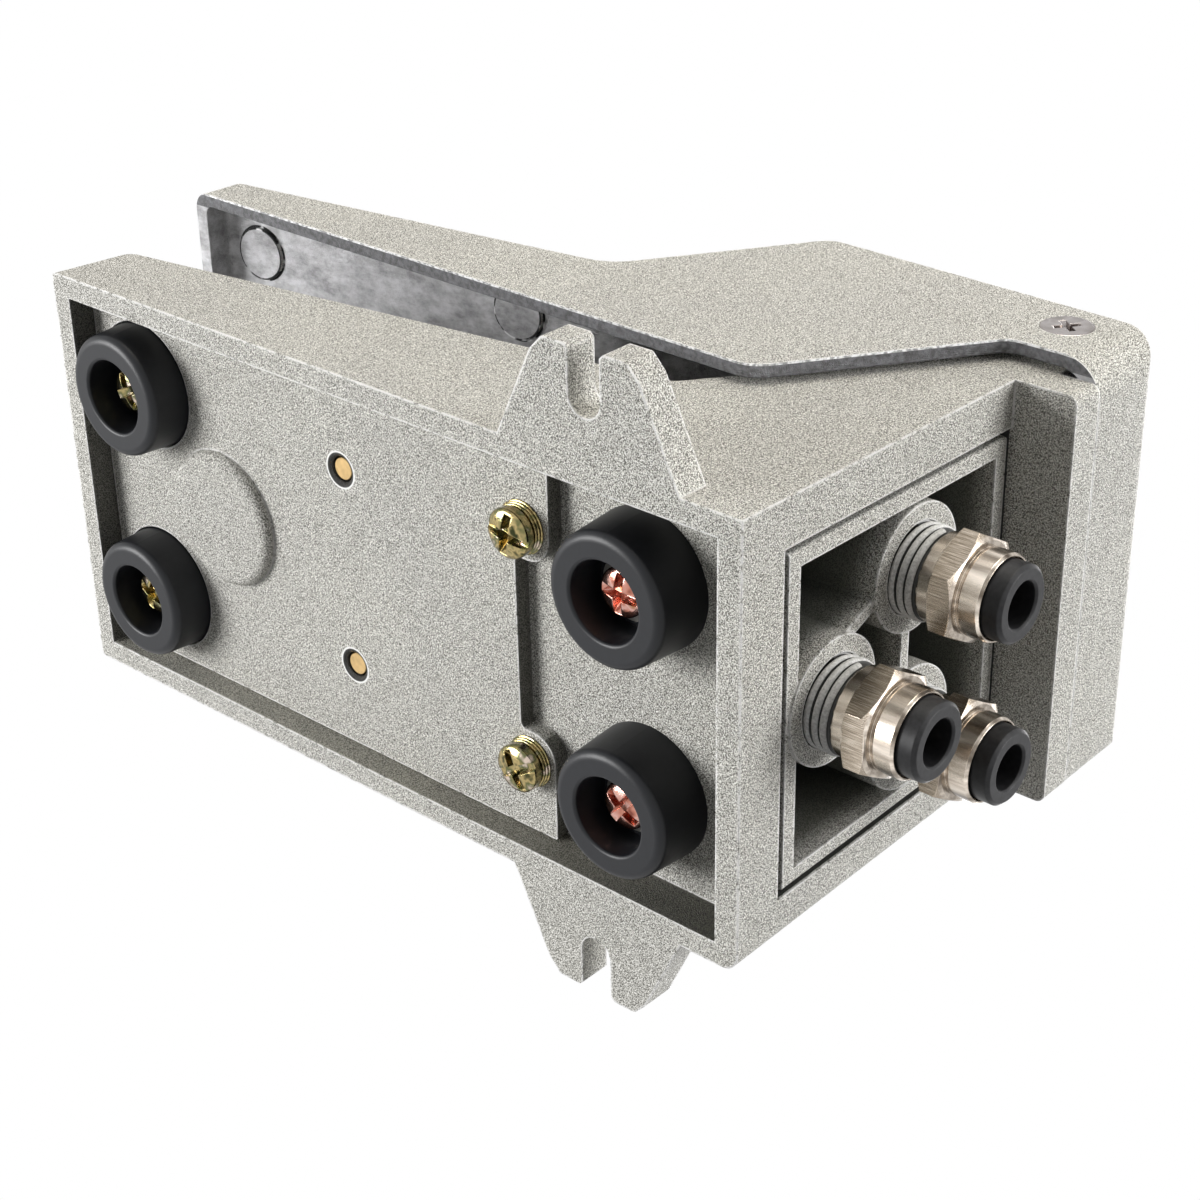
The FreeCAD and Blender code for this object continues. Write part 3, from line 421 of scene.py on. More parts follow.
# Valve body. The casting in the rear pocket with its frame, ribs and three port bosses.
# The paint is sprayed from outside and gets thinner towards the pocket floor; the colour is also darkened
# there, to near black on the floor, as painted shade.
POCKET_MOUTH = 0.0604
POCKET_FLOOR = 0.0470
THIN_COAT_AND_SHADE = ((0.0, (0.16, 0.17, 0.14)), (0.75, (0.50, 0.51, 0.46)), (1.0, (1.0, 1.0, 1.0)))
FLOOR_SHADE_SHARE = ((0.0, (0.9, 0.9, 0.9)), (0.8, (0.6, 0.6, 0.6)), (1.0, (0.0, 0.0, 0.0)))
FLOOR_PAINTED_SHADE = (0.075, 0.079, 0.066)

valve_paint, nodes, links, shader = new_material("valve_paint")
painted, paint_normal = paint_layers(nodes, links)
depth = rescale(nodes, links, object_place(nodes, links)["Y"], POCKET_FLOOR, POCKET_MOUTH)
# Partly thinner paint, partly painted shade: darker towards the pocket floor, near black on it.
colour = blend_colours(nodes, links, 1.0, painted, ramp(nodes, links, depth, THIN_COAT_AND_SHADE), "MULTIPLY")
floor_shade = ramp(nodes, links, depth, FLOOR_SHADE_SHARE)
colour = blend_colours(nodes, links, floor_shade, colour, plain_colour(nodes, FLOOR_PAINTED_SHADE))
coat(links, shader, colour, paint_normal)
dress("valve_body", valve_paint)

# Pedal. Treadle, ramp and hood in one casting: painted outside, bare grey metal inside
# and along the trimmed lower edge, with the round marks of the ejector pins under the treadle.
PEDAL_HALF = 0.0359
PEDAL_DRAFT = 0.02147
PEDAL_FRONT = -0.07845
PEDAL_REAR = 0.07135
PEDAL_FLOOR = 0.0023
PEDAL_ROUND = 0.0022
PEDAL_STEPS = 5
PEDAL_SHARP = math.radians(25.0)
TREADLE_FRONT = 0.0437
TREADLE_SLOPE = 0.142
TREADLE_BAND = 0.0022
RAMP_LOW = 0.058
RAMP_END = 0.014
HOOD_START = 0.0137
HOOD_FRONT = 0.0822
HOOD_SLOPE = 0.035
HOOD_BAND = 0.0045
HOOD_REAR = 0.0655
FRONT_BAND = 0.0031
SIDE_BAND = 0.0004
CORNER_BAND = 0.0064
SEAM_TOP = 0.0669
SEAM_START = 0.066
SEAM_FILL = 0.00022


def is_pedal_top(edge):
    """Sharp edge of the pedal between its sides and its treadle, ramp and hood."""
    if len(edge.link_faces) != 2 or edge.calc_face_angle(0.0) < PEDAL_SHARP:
        return False
    middle = (edge.verts[0].co + edge.verts[1].co) * 0.5
    treadle = TREADLE_FRONT + TREADLE_SLOPE * (middle.y - PEDAL_FRONT)
    hood = HOOD_FRONT - HOOD_SLOPE * (middle.y - HOOD_START)
    near_top = middle.z > treadle - TREADLE_BAND and middle.y < 0.0
    near_top = near_top or middle.z > RAMP_LOW and 0.0 < middle.y < RAMP_END
    near_top = near_top or middle.z > hood - HOOD_BAND and middle.y > 0.0
    side = PEDAL_HALF - PEDAL_DRAFT * (middle.z - PEDAL_FLOOR)
    at_end = middle.y > HOOD_REAR or middle.y < PEDAL_FRONT + FRONT_BAND
    outer = abs(middle.x) > side - SIDE_BAND or at_end
    return near_top and outer and abs(middle.x) > side - CORNER_BAND


pedal_shape = merged_copy("pedal")
top_edges = [edge for edge in pedal_shape.edges if is_pedal_top(edge)]
bmesh.ops.bevel(
    pedal_shape,
    geom=top_edges,
    offset=PEDAL_ROUND,
    offset_type="OFFSET",
    segments=PEDAL_STEPS,
    profile=0.5,
    affect="EDGES",
    clamp_overlap=True,
)
for corner in pedal_shape.verts:
    if corner.co.y > SEAM_START and abs(corner.co.z - SEAM_TOP) < SAME_PLACE:
        corner.co.z -= SEAM_FILL
keep_creases(pedal_shape)

BARE_STOPS = ((0.34, (0.27, 0.265, 0.27)), (0.62, (0.58, 0.58, 0.59)))
BARE_METAL = 0.85
BARE_ROUGHNESS = 0.38
EJECTOR_X = 0.025
EJECTOR_RADIUS = 0.0044
EJECTOR_LINE = 0.00032
EJECTOR_PLACES = (-0.06955, -0.01895)
RING_SPECKS = ((0.53, (0.03, 0.03, 0.03)), (0.60, (0.8, 0.8, 0.8)))
SKIN_DEPTH = 0.0006
TRIM_DEPTH = 0.0017
UPWARD = 0.12
LEANING = 0.03
REAR_DEPTH = 0.0065
FRONT_DEPTH = 0.0032
UNDERSIDE = -0.45
TRIMMED_SIDE = -0.3
FILED = ((0.36, (0.10, 0.10, 0.10)), (0.64, (0.18, 0.18, 0.19)))
LIP_START = 0.0003
LIP_TONE = ((0.40, (0.30, 0.30, 0.30)), (0.56, (0.85, 0.85, 0.85)))


def bare_casting(nodes, links):
    """Mottled colour of an unpainted die casting with faint flow marks along its length."""
    patches = noise(nodes, links, 420.0, 6.0, 0.68, turn=(0.0, 0.0, 0.15), stretch=(1.0, 0.6, 1.0))
    return ramp(nodes, links, patches, BARE_STOPS)


def ejector_rings(nodes, links, across, along):
    """1 on the fine line round each ejector mark and 0 elsewhere."""
    rings = None
    for ejector_y in EJECTOR_PLACES:
        near = nodes.new("ShaderNodeMath")
        near.operation = "COMPARE"
        middle = (EJECTOR_X, ejector_y, 0.0)
        links.new(distance_from(nodes, links, middle, {"X": across, "Y": along}), near.inputs[0])
        near.inputs[1].default_value = EJECTOR_RADIUS
        near.inputs[2].default_value = EJECTOR_LINE
        ring = near.outputs[0]
        rings = ring if rings is None else combine(nodes, links, rings, "MAXIMUM", ring)
    return rings


pedal_paint, nodes, links, shader = new_material("pedal_paint")
painted, paint_normal = paint_layers(nodes, links)
place = object_place(nodes, links)
across = absolute(nodes, links, place["X"])
# Fine ring lines of dark and light specks round each ejector mark.
ring_specks = ramp(nodes, links, noise(nodes, links, 330.0), RING_SPECKS)
rings = ejector_rings(nodes, links, across, place["Y"])
bare_colour = blend_colours(nodes, links, rings, bare_casting(nodes, links), ring_specks)
lean = nodes.new("ShaderNodeMath")
lean.operation = "MULTIPLY_ADD"
links.new(place["Z"], lean.inputs[0])
lean.inputs[1].default_value = PEDAL_DRAFT
lean.inputs[2].default_value = -PEDAL_HALF - PEDAL_DRAFT * PEDAL_FLOOR + SKIN_DEPTH
reach = combine(nodes, links, across, "ADD", lean.outputs[0])
upward = facing(nodes, links, "Z")
rearward = facing(nodes, links, "Y")
skin = compare(nodes, links, reach, "GREATER_THAN", 0.0)
skin = combine(nodes, links, skin, "MAXIMUM", compare(nodes, links, upward, "GREATER_THAN", UPWARD))
at_rear = compare(nodes, links, place["Y"], "GREATER_THAN", PEDAL_REAR - REAR_DEPTH)
to_rear = compare(nodes, links, rearward, "GREATER_THAN", LEANING)
skin = combine(nodes, links, skin, "MAXIMUM", combine(nodes, links, at_rear, "MULTIPLY", to_rear))
at_front = compare(nodes, links, place["Y"], "LESS_THAN", PEDAL_FRONT + FRONT_DEPTH)
to_front = compare(nodes, links, rearward, "LESS_THAN", -LEANING)
skin = combine(nodes, links, skin, "MAXIMUM", combine(nodes, links, at_front, "MULTIPLY", to_front))
not_under = compare(nodes, links, upward, "GREATER_THAN", UNDERSIDE)
skin = combine(nodes, links, skin, "MULTIPLY", not_under)
downward = compare(nodes, links, upward, "LESS_THAN", TRIMMED_SIDE)
near_edge = compare(nodes, links, reach, "GREATER_THAN", -TRIM_DEPTH)
trimmed = combine(nodes, links, near_edge, "MULTIPLY", downward)
filed = ramp(nodes, links, noise(nodes, links, 1300.0, 3.0), FILED)
bare_colour = blend_colours(nodes, links, trimmed, bare_colour, filed)
at_lip = compare(nodes, links, reach, "GREATER_THAN", LIP_START)
lip = combine(nodes, links, at_lip, "MULTIPLY", downward)
lip_tone = ramp(nodes, links, noise(nodes, links, 1500.0, 3.0), LIP_TONE)
bare_colour = blend_colours(nodes, links, lip, bare_colour, lip_tone)
links.new(blend_colours(nodes, links, skin, bare_colour, painted), shader.inputs["Base Color"])
metal = rescale(nodes, links, skin, 0.0, 1.0, BARE_METAL, PAINT_METAL)
links.new(metal, shader.inputs["Metallic"])
gloss = rescale(nodes, links, skin, 0.0, 1.0, BARE_ROUGHNESS, PAINT_ROUGHNESS)
links.new(gloss, shader.inputs["Roughness"])
links.new(paint_normal, shader.inputs["Normal"])
finished(pedal_shape, "pedal_casting", pedal_paint, "pedal", "pedal_paint", "pedal")

# Rubber feet. Four black moulded cones, each held to the base by a screw and a washer
# at the bottom of its deep hole.
RUBBER = (0.0058, 0.0066, 0.0090)
TONE_SPREAD = 0.12


def plain_material(name, colour, metallic, roughness, grain=900.0):
    """Plain finish with a slight change of tone and a fine bump."""
    material, nodes, links, shader = new_material(name)
    texture = noise(nodes, links, grain, 3.0)
    low = tuple(c * (1.0 - TONE_SPREAD) for c in colour)
    high = tuple(min(1.0, c * (1.0 + TONE_SPREAD)) for c in colour)
    links.new(ramp(nodes, links, texture, [(0.35, low), (0.65, high)]), shader.inputs["Base Color"])
    links.new(add_bump(nodes, links, texture, 0.00002, 0.6), shader.inputs["Normal"])
    shader.inputs["Metallic"].default_value = metallic
    shader.inputs["Roughness"].default_value = roughness
    return material


rubber = plain_material("foot_rubber", RUBBER, metallic=0.0, roughness=0.42)
rubber.node_tree.nodes["Principled BSDF"].inputs["Specular IOR Level"].default_value = 0.35
for name in ("front_foot_left", "front_foot_right", "rear_foot_left", "rear_foot_right"):
    dress(name, rubber)

# Screws, washers and the other small fixings: cold formed domed heads with a cross
# recess out to the rim, zinc plated and passivated yellow or pink with a rainbow sheen.
YELLOW_FILM = ((0.045, 0.05, 0.02), (0.46, 0.36, 0.17), (0.13, 0.14, 0.06), (0.66, 0.54, 0.45))
PINK_FILM = ((0.22, 0.07, 0.05), (0.52, 0.22, 0.16), (0.66, 0.40, 0.35), (0.40, 0.19, 0.10))
GREY_FILM = ((0.26, 0.235, 0.22), (0.34, 0.31, 0.295), (0.40, 0.37, 0.36), (0.30, 0.275, 0.265))
BRIGHT_ZINC = (0.30, 0.29, 0.27)
GOLD_ZINC = (0.62, 0.43, 0.20)
CHAMFER_SHADE = 0.12


def passivated(name, colours, spread):
    """Thin colour film on zinc: its tone drifts over the part."""
    material, nodes, links, shader = new_material(name)
    count = len(colours) - 1.0
    stops = [(0.32 + 0.36 * i / count, colour) for i, colour in enumerate(colours)]
    film = ramp(nodes, links, noise(nodes, links, spread), stops)
    links.new(film, shader.inputs["Base Color"])
    marks = noise(nodes, links, 2500.0)
    marks = add_bump(nodes, links, marks, 0.00002, 0.6, rounded_normal(nodes, 0.0002))
    links.new(marks, shader.inputs["Normal"])
    shader.inputs["Metallic"].default_value = 1.0
    shader.inputs["Roughness"].default_value = 0.17
    return material


yellow_zinc = passivated("yellow_zinc", YELLOW_FILM, 480.0)
pink_zinc = passivated("pink_zinc", PINK_FILM, 420.0)
grey_zinc = passivated("grey_zinc", GREY_FILM, 300.0)
bright_zinc = plain_material("bright_zinc", BRIGHT_ZINC, metallic=1.0, roughness=0.3, grain=500.0)
for name in ("foot_washers", "adjuster_screw", "adjuster_nut"):
    dress(name, bright_zinc)
gold_zinc = plain_material("gold_zinc", GOLD_ZINC, metallic=1.0, roughness=0.32)
nodes = gold_zinc.node_tree.nodes
links = gold_zinc.node_tree.links
tip_colour = nodes["Principled BSDF"].inputs["Base Color"]
gold = tip_colour.links[0].from_socket
on_chamfer = compare(nodes, links, tip_distance(nodes, links), "GREATER_THAN", TIP_BRIGHT)
chamfer = darker(nodes, links, gold, CHAMFER_SHADE)
links.new(blend_colours(nodes, links, on_chamfer, gold, chamfer), tip_colour)
dress("bracket_screws", gold_zinc)

SCREW_STEPS = 40
CROSS_WIDTH = 0.00125
CROSS_DEPTH = 0.0016
FOOT_HEAD_RADIUS = 0.0035
FOOT_HEAD_HEIGHT = 0.0026
FRONT_SCREW_LENGTH = 0.0126
REAR_SCREW_LENGTH = 0.0216
PLATE_HEAD_RADIUS = 0.0036
PLATE_HEAD_HEIGHT = 0.0024
PLATE_SCREW_LENGTH = 0.0117
SHANK_RADIUS = 0.00195
FRONT_SCREW_PLACES = ((-0.0172, -0.05635, 0.0027, 20.0), (0.0172, -0.05635, 0.0027, -25.0))
REAR_SCREW_PLACES = ((-0.016, 0.04145, 0.0027, 35.0), (0.016, 0.04145, 0.0027, 5.0))
PLATE_SCREW_PLACES = ((-0.0181, 0.02185, 0.0026, 62.0), (0.0181, 0.02185, 0.0026, 100.0))
RING_PLACES = ((-0.0181, 0.02185, 0.005, 150.0), (0.0181, 0.02185, 0.005, -40.0))
RING_OUTLINE = (
    (0.00205, 0.0), (0.0034, 0.0), (0.00365, 0.0001), (0.00365, 0.00034), (0.0035, 0.00042),
    (0.0029, 0.00045), (0.0035, 0.00048), (0.00375, 0.0006), (0.00375, 0.0008), (0.0036, 0.00087),
    (0.0030, 0.0009), (0.0037, 0.00093), (0.0039, 0.00102), (0.0039, 0.0012), (0.0037, 0.0013),
    (0.00205, 0.0013),
)
SPLIT_REACH = 0.003
SPLIT_WIDTH = 0.0006
SPLIT_SLANT = 0.0003


def lathe(points, steps, ring=False):
    """Closed solid turned about the Z axis: from axis to axis, or a ring from a closed outline."""
    shape = bmesh.new()
    rings = []
    for radius, height in points:
        if radius < 1e-7:
            rings.append([shape.verts.new((0.0, 0.0, height))])
            continue
        row = []
        for i in range(steps):
            angle = 2.0 * math.pi * i / steps
            row.append(shape.verts.new((radius * math.cos(angle), radius * math.sin(angle), height)))
        rings.append(row)
    pairs = list(zip(rings, rings[1:]))
    if ring:
        pairs.append((rings[-1], rings[0]))
    for low, high in pairs:
        for i in range(steps):
            j = (i + 1) % steps
            corners = [low[i % len(low)], low[j % len(low)], high[j % len(high)], high[i % len(high)]]
            corners = list(dict.fromkeys(corners))
            if len(corners) > 2:
                shape.faces.new(corners)
    bmesh.ops.recalc_face_normals(shape, faces=shape.faces)
    return shape


def cut(shape, cutters):
    """Takes each cutter out of the shape."""
    mesh = bpy.data.meshes.new("work")
    shape.to_mesh(mesh)
    shape.free()
    work = bpy.data.objects.new("work", mesh)
    bpy.context.scene.collection.objects.link(work)
    tools = []
    for cutter in cutters:
        tool_mesh = bpy.data.meshes.new("tool")
        cutter.to_mesh(tool_mesh)
        cutter.free()
        tool = bpy.data.objects.new("tool", tool_mesh)
        bpy.context.scene.collection.objects.link(tool)
        step = work.modifiers.new("cut", "BOOLEAN")
        step.operation = "DIFFERENCE"
        step.solver = "EXACT"
        step.object = tool
        tools.append(tool)
    ready = work.evaluated_get(bpy.context.evaluated_depsgraph_get())
    result = bmesh.new()
    result.from_mesh(bpy.data.meshes.new_from_object(ready))
    for item in tools + [work]:
        bpy.data.objects.remove(item)
    bmesh.ops.remove_doubles(result, verts=result.verts, dist=3e-6)
    bmesh.ops.dissolve_degenerate(result, edges=result.edges, dist=1e-6)
    return result


def cross_arm(reach, width, depth, turned):
    """One arm of the cross recess: a wedge that narrows towards its bottom."""
    shape = bmesh.new()
    bmesh.ops.create_cube(shape, size=1.0)
    for corner in shape.verts:
        low = corner.co.z > 0.0
        corner.co.x *= 2.0 * reach * (0.5 if low else 1.25)
        corner.co.y *= width * (0.75 if low else 1.25)
        corner.co.z = depth if low else -0.25 * depth
    if turned:
        quarter = Matrix.Rotation(math.pi / 2.0, 3, "Z")
        bmesh.ops.rotate(shape, verts=shape.verts, cent=(0.0, 0.0, 0.0), matrix=quarter)
    return shape


def domed_screw(radius, height, length, shank, long_slot=False):
    """Screw with the crown of its head at z = 0 and its shank going up."""
    crown = 0.42 * height
    points = [(0.0, 0.0)]
    for i in range(1, 9):
        angle = math.radians(90.0 * i / 8.0)
        points.append((radius * math.sin(angle), crown * (1.0 - math.cos(angle))))
    points += [
        (radius, height - 0.0003),
        (radius - 0.0003, height),
        (shank, height),
        (shank, length - 0.0004),
        (shank - 0.0004, length),
        (0.0, length),
    ]
    body = lathe(points, SCREW_STEPS)
    arms = [cross_arm(radius * 0.92, CROSS_WIDTH, CROSS_DEPTH, turned) for turned in (False, True)]
    if long_slot:
        arms.append(cross_arm(radius * 2.2, CROSS_WIDTH, CROSS_DEPTH * 0.7, False))
    return cut(body, arms)


def repeat(name, shape, places, material):
    """Puts the shape at each (x, y, z, turn in degrees) with Geometry Nodes and gives one bmesh."""
    sample_mesh = bpy.data.meshes.new(name + "_sample")
    shape.to_mesh(sample_mesh)
    shape.free()
    sample = bpy.data.objects.new(name + "_sample", sample_mesh)
    bpy.context.scene.collection.objects.link(sample)
    spots = bpy.data.meshes.new(name + "_spots")
    spots.from_pydata([place[:3] for place in places], [], [])
    turns = spots.attributes.new("turn", "FLOAT", "POINT")
    for i, place in enumerate(places):
        turns.data[i].value = math.radians(place[3])
    holder = bpy.data.objects.new(name + "_spots", spots)
    bpy.context.scene.collection.objects.link(holder)

    tree = bpy.data.node_groups.new(name + "_tree", "GeometryNodeTree")
    tree.interface.new_socket("Spots", in_out="INPUT", socket_type="NodeSocketGeometry")
    piece_socket = tree.interface.new_socket("Piece", in_out="INPUT", socket_type="NodeSocketObject")
    size_socket = tree.interface.new_socket("Size", in_out="INPUT", socket_type="NodeSocketFloat")
    tree.interface.new_socket("Geometry", in_out="OUTPUT", socket_type="NodeSocketGeometry")
    start = tree.nodes.new("NodeGroupInput")
    end = tree.nodes.new("NodeGroupOutput")
    points = tree.nodes.new("GeometryNodeMeshToPoints")
    picked = tree.nodes.new("GeometryNodeObjectInfo")
    turn = tree.nodes.new("GeometryNodeInputNamedAttribute")
    turn.data_type = "FLOAT"
    turn.inputs["Name"].default_value = "turn"
    angles = tree.nodes.new("ShaderNodeCombineXYZ")
    put = tree.nodes.new("GeometryNodeInstanceOnPoints")
    real = tree.nodes.new("GeometryNodeRealizeInstances")
    finish = tree.nodes.new("GeometryNodeSetMaterial")
    finish.inputs["Material"].default_value = material
    tree.links.new(start.outputs["Spots"], points.inputs["Mesh"])
    tree.links.new(start.outputs["Piece"], picked.inputs["Object"])
    tree.links.new(turn.outputs["Attribute"], angles.inputs["Z"])
    tree.links.new(points.outputs["Points"], put.inputs["Points"])
    tree.links.new(picked.outputs["Geometry"], put.inputs["Instance"])
    tree.links.new(angles.outputs["Vector"], put.inputs["Rotation"])
    tree.links.new(start.outputs["Size"], put.inputs["Scale"])
    tree.links.new(put.outputs["Instances"], real.inputs["Geometry"])
    tree.links.new(real.outputs["Geometry"], finish.inputs["Geometry"])
    tree.links.new(finish.outputs["Geometry"], end.inputs[0])
    step = holder.modifiers.new("repeat", "NODES")
    step.node_group = tree
    step[piece_socket.identifier] = sample
    step[size_socket.identifier] = 1.0
    ready = holder.evaluated_get(bpy.context.evaluated_depsgraph_get())
    whole = bmesh.new()
    whole.from_mesh(bpy.data.meshes.new_from_object(ready))
    bpy.data.objects.remove(holder)
    bpy.data.objects.remove(sample)
    return whole


front_screw = domed_screw(FOOT_HEAD_RADIUS, FOOT_HEAD_HEIGHT, FRONT_SCREW_LENGTH, SHANK_RADIUS)
front_screws = repeat("foot_screws", front_screw, FRONT_SCREW_PLACES, yellow_zinc)
finished(front_screws, "front_screws", yellow_zinc, "base", "yellow_zinc", "front_foot_screws")
rear_screw = domed_screw(FOOT_HEAD_RADIUS, FOOT_HEAD_HEIGHT, REAR_SCREW_LENGTH, SHANK_RADIUS)
rear_screws = repeat("long_screws", rear_screw, REAR_SCREW_PLACES, pink_zinc)
finished(rear_screws, "rear_screws", pink_zinc, "base", "pink_zinc", "rear_foot_screws")
plate_screw = domed_screw(PLATE_HEAD_RADIUS, PLATE_HEAD_HEIGHT, PLATE_SCREW_LENGTH, SHANK_RADIUS, True)
plate_screws = repeat("plate_screws", plate_screw, PLATE_SCREW_PLACES, yellow_zinc)
finished(plate_screws, "plate_fixing_screws", yellow_zinc, "base", "yellow_zinc", "plate_screws")

split_cut = bmesh.new()
bmesh.ops.create_cube(split_cut, size=1.0)
for corner in split_cut.verts:
    corner.co.x = SPLIT_REACH + corner.co.x * SPLIT_REACH
    corner.co.y = corner.co.y * SPLIT_WIDTH + (SPLIT_SLANT if corner.co.z > 0.0 else -SPLIT_SLANT)
    corner.co.z = corner.co.z * SPLIT_REACH
spring_ring = cut(lathe(RING_OUTLINE, SCREW_STEPS, True), [split_cut])
spring_rings = repeat("spring_rings", spring_ring, RING_PLACES, yellow_zinc)
finished(spring_rings, "plate_lock_washers", yellow_zinc, "base", "yellow_zinc", "plate_spring_washers")

# Hinge screws. Two countersunk screws with a cross recess, level with the pedal skirts,
# zinc plated grey. They go through the skirts into the ears of the base.
HINGE_FACE = 0.0359 - 0.0215 * 0.0739
HINGE_Y = 0.06005
HINGE_Z = 0.0762
HINGE_TURN = 38.0
HINGE_CROSS = (0.0019, 0.0009, 0.0013)
HINGE_OUTLINE = (
    (0.0, 0.0), (0.0036, 0.0), (0.00385, 0.00012), (0.0020, 0.0019), (0.00195, 0.0090), (0.0, 0.0090),
)


def joined(whole, piece):
    """Adds one bmesh to another and lets go of it."""
    mesh = bpy.data.meshes.new("copy")
    piece.to_mesh(mesh)
    piece.free()
    whole.from_mesh(mesh)


hinge_shapes = bmesh.new()
for side in (1.0, -1.0):
    arms = [cross_arm(*HINGE_CROSS, turned) for turned in (False, True)]
    screw = cut(lathe(HINGE_OUTLINE, SCREW_STEPS), arms)
    inward = Matrix.Rotation(-side * math.pi / 2.0, 4, "Y")
    twist = Matrix.Rotation(math.radians(HINGE_TURN), 4, "Z")
    place = Matrix.Translation((side * HINGE_FACE, HINGE_Y, HINGE_Z)) @ inward @ twist
    bmesh.ops.transform(screw, matrix=place, verts=screw.verts)
    joined(hinge_shapes, screw)
finished(hinge_shapes, "hinge_fixing_screws", grey_zinc, "base", "bright_zinc", "hinge_screws")

# Inner parts. A turned aluminium spool with rubber seals slides in the valve body under a
# brass guide, against a steel wire spring. The pedal's own spring stands on a steel bracket.
aluminium = plain_material("turned_aluminium", (0.72, 0.72, 0.73), metallic=1.0, roughness=0.3)
turned_brass = plain_material("turned_brass", (0.75, 0.56, 0.26), metallic=1.0, roughness=0.28)
seal = plain_material("seal_rubber", (0.03, 0.03, 0.03), metallic=0.0, roughness=0.5)
wire = plain_material("spring_steel", (0.42, 0.42, 0.43), metallic=1.0, roughness=0.3)
steel = plain_material("ring_steel", (0.62, 0.62, 0.62), metallic=1.0, roughness=0.3)
sheet = plain_material("bracket_steel", (0.52, 0.52, 0.52), metallic=1.0, roughness=0.35)
for name in ("spool", "end_plug"):
    dress(name, aluminium)
for name in ("guide_cap", "hinge_washers"):
    dress(name, turned_brass)
for name in ("spool_seals", "end_plug_seal"):
    dress(name, seal)


def helix_shape(name, start_radius, end_radius, wire_radius, turns, height, material):
    """Round section swept along a helix with Geometry Nodes, standing on z = 0."""
    tree = bpy.data.node_groups.new(name + "_tree", "GeometryNodeTree")
    sockets = {}
    for label, value in (
        ("Start Radius", start_radius),
        ("End Radius", end_radius),
        ("Wire Radius", wire_radius),
        ("Turns", turns),
        ("Height", height),
    ):
        socket = tree.interface.new_socket(label, in_out="INPUT", socket_type="NodeSocketFloat")
        sockets[socket.identifier] = value
    tree.interface.new_socket("Geometry", in_out="OUTPUT", socket_type="NodeSocketGeometry")
    start = tree.nodes.new("NodeGroupInput")
    end = tree.nodes.new("NodeGroupOutput")
    helix = tree.nodes.new("GeometryNodeCurveSpiral")
    helix.inputs["Resolution"].default_value = 40
    section = tree.nodes.new("GeometryNodeCurvePrimitiveCircle")
    section.inputs["Resolution"].default_value = 12
    sweep = tree.nodes.new("GeometryNodeCurveToMesh")
    sweep.inputs["Fill Caps"].default_value = True
    real = tree.nodes.new("GeometryNodeRealizeInstances")
    finish = tree.nodes.new("GeometryNodeSetMaterial")
    finish.inputs["Material"].default_value = material
    tree.links.new(start.outputs["Turns"], helix.inputs["Rotations"])
    tree.links.new(start.outputs["Start Radius"], helix.inputs["Start Radius"])
    tree.links.new(start.outputs["End Radius"], helix.inputs["End Radius"])
    tree.links.new(start.outputs["Height"], helix.inputs["Height"])
    tree.links.new(start.outputs["Wire Radius"], section.inputs["Radius"])
    tree.links.new(helix.outputs["Curve"], sweep.inputs["Curve"])
    tree.links.new(section.outputs["Curve"], sweep.inputs["Profile Curve"])
    tree.links.new(sweep.outputs["Mesh"], real.inputs["Geometry"])
    tree.links.new(real.outputs["Geometry"], finish.inputs["Geometry"])
    tree.links.new(finish.outputs["Geometry"], end.inputs[0])
    holder = bpy.data.objects.new(name + "_holder", bpy.data.meshes.new(name + "_holder"))
    bpy.context.scene.collection.objects.link(holder)
    step = holder.modifiers.new("helix", "NODES")
    step.node_group = tree
    for identifier, value in sockets.items():
        step[identifier] = value
    ready = holder.evaluated_get(bpy.context.evaluated_depsgraph_get())
    shape = bmesh.new()
    shape.from_mesh(bpy.data.meshes.new_from_object(ready))
    bpy.data.objects.remove(holder)
    for face in shape.faces:
        face.smooth = True
    bmesh.ops.recalc_face_normals(shape, faces=shape.faces)
    return shape


def coil(name, radius, wire_radius, turns, place, height, body, node):
    """Compression spring that stands at place."""
    shape = helix_shape(name, radius, radius, wire_radius, turns, height - 2.0 * wire_radius, wire)
    bmesh.ops.translate(shape, verts=shape.verts, vec=place)
    return finished(shape, name, wire, body, "spring_steel", node)


return_spring = coil(
    "return_spring", radius=0.0074, wire_radius=0.0008, turns=6.0,
    place=(0.0, -0.01335, 0.0116), height=0.0381, body=None, node="pedal_spring",
)
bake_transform(return_spring)
valve_spring = coil(
    "valve_spring", radius=0.0024, wire_radius=0.0006, turns=6.0,
    place=(0.0, 0.03565, 0.01545), height=0.013, body="base", node="spool_spring",
)
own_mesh(valve_spring)
dress("spring_bracket", sheet)

# Push-in fittings. Brass turned from hexagon bar and nickel plated: a taper thread with
# grey sealant baked on it, a chamfered hexagon and a round head for the black collar.
PORTS = (("supply", 0.0, 0.0213), ("work", 0.01225, 0.039), ("exhaust", -0.01225, 0.039))
THREAD_PITCH = 0.001337
THREAD_START = 0.0608
THREAD_END = 0.06605
THREAD_CREST = 0.00668
THREAD_DEPTH = 0.00065
THREAD_TAPER = 1.0 / 32.0
RIDGE_RADIUS = 0.00061
GROOVE_EDGE = THREAD_CREST - 0.00036
THREAD_CORE = 0.0055
NECK_LOW = 0.0058
NECK_HIGH = 0.006
NECK_END = 0.0063
HEX_BACK = 0.06715
HEX_BACK_END = HEX_BACK + 0.00075
HEX_START = 0.0682
HEX_END = 0.07205
HEX_CHAMFER = 0.0003
SEALANT = (0.70, 0.70, 0.69)
GROOVE_PAINTED_SHADE = (0.05, 0.05, 0.048)
SEALANT_END = THREAD_END + 0.00015
SEALANT_ROUGHNESS = 0.6
PLATED_ROUGHNESS = 0.24
HEAD_TONE = ((0.36, (0.34, 0.30, 0.26)), (0.62, (0.66, 0.61, 0.55)))
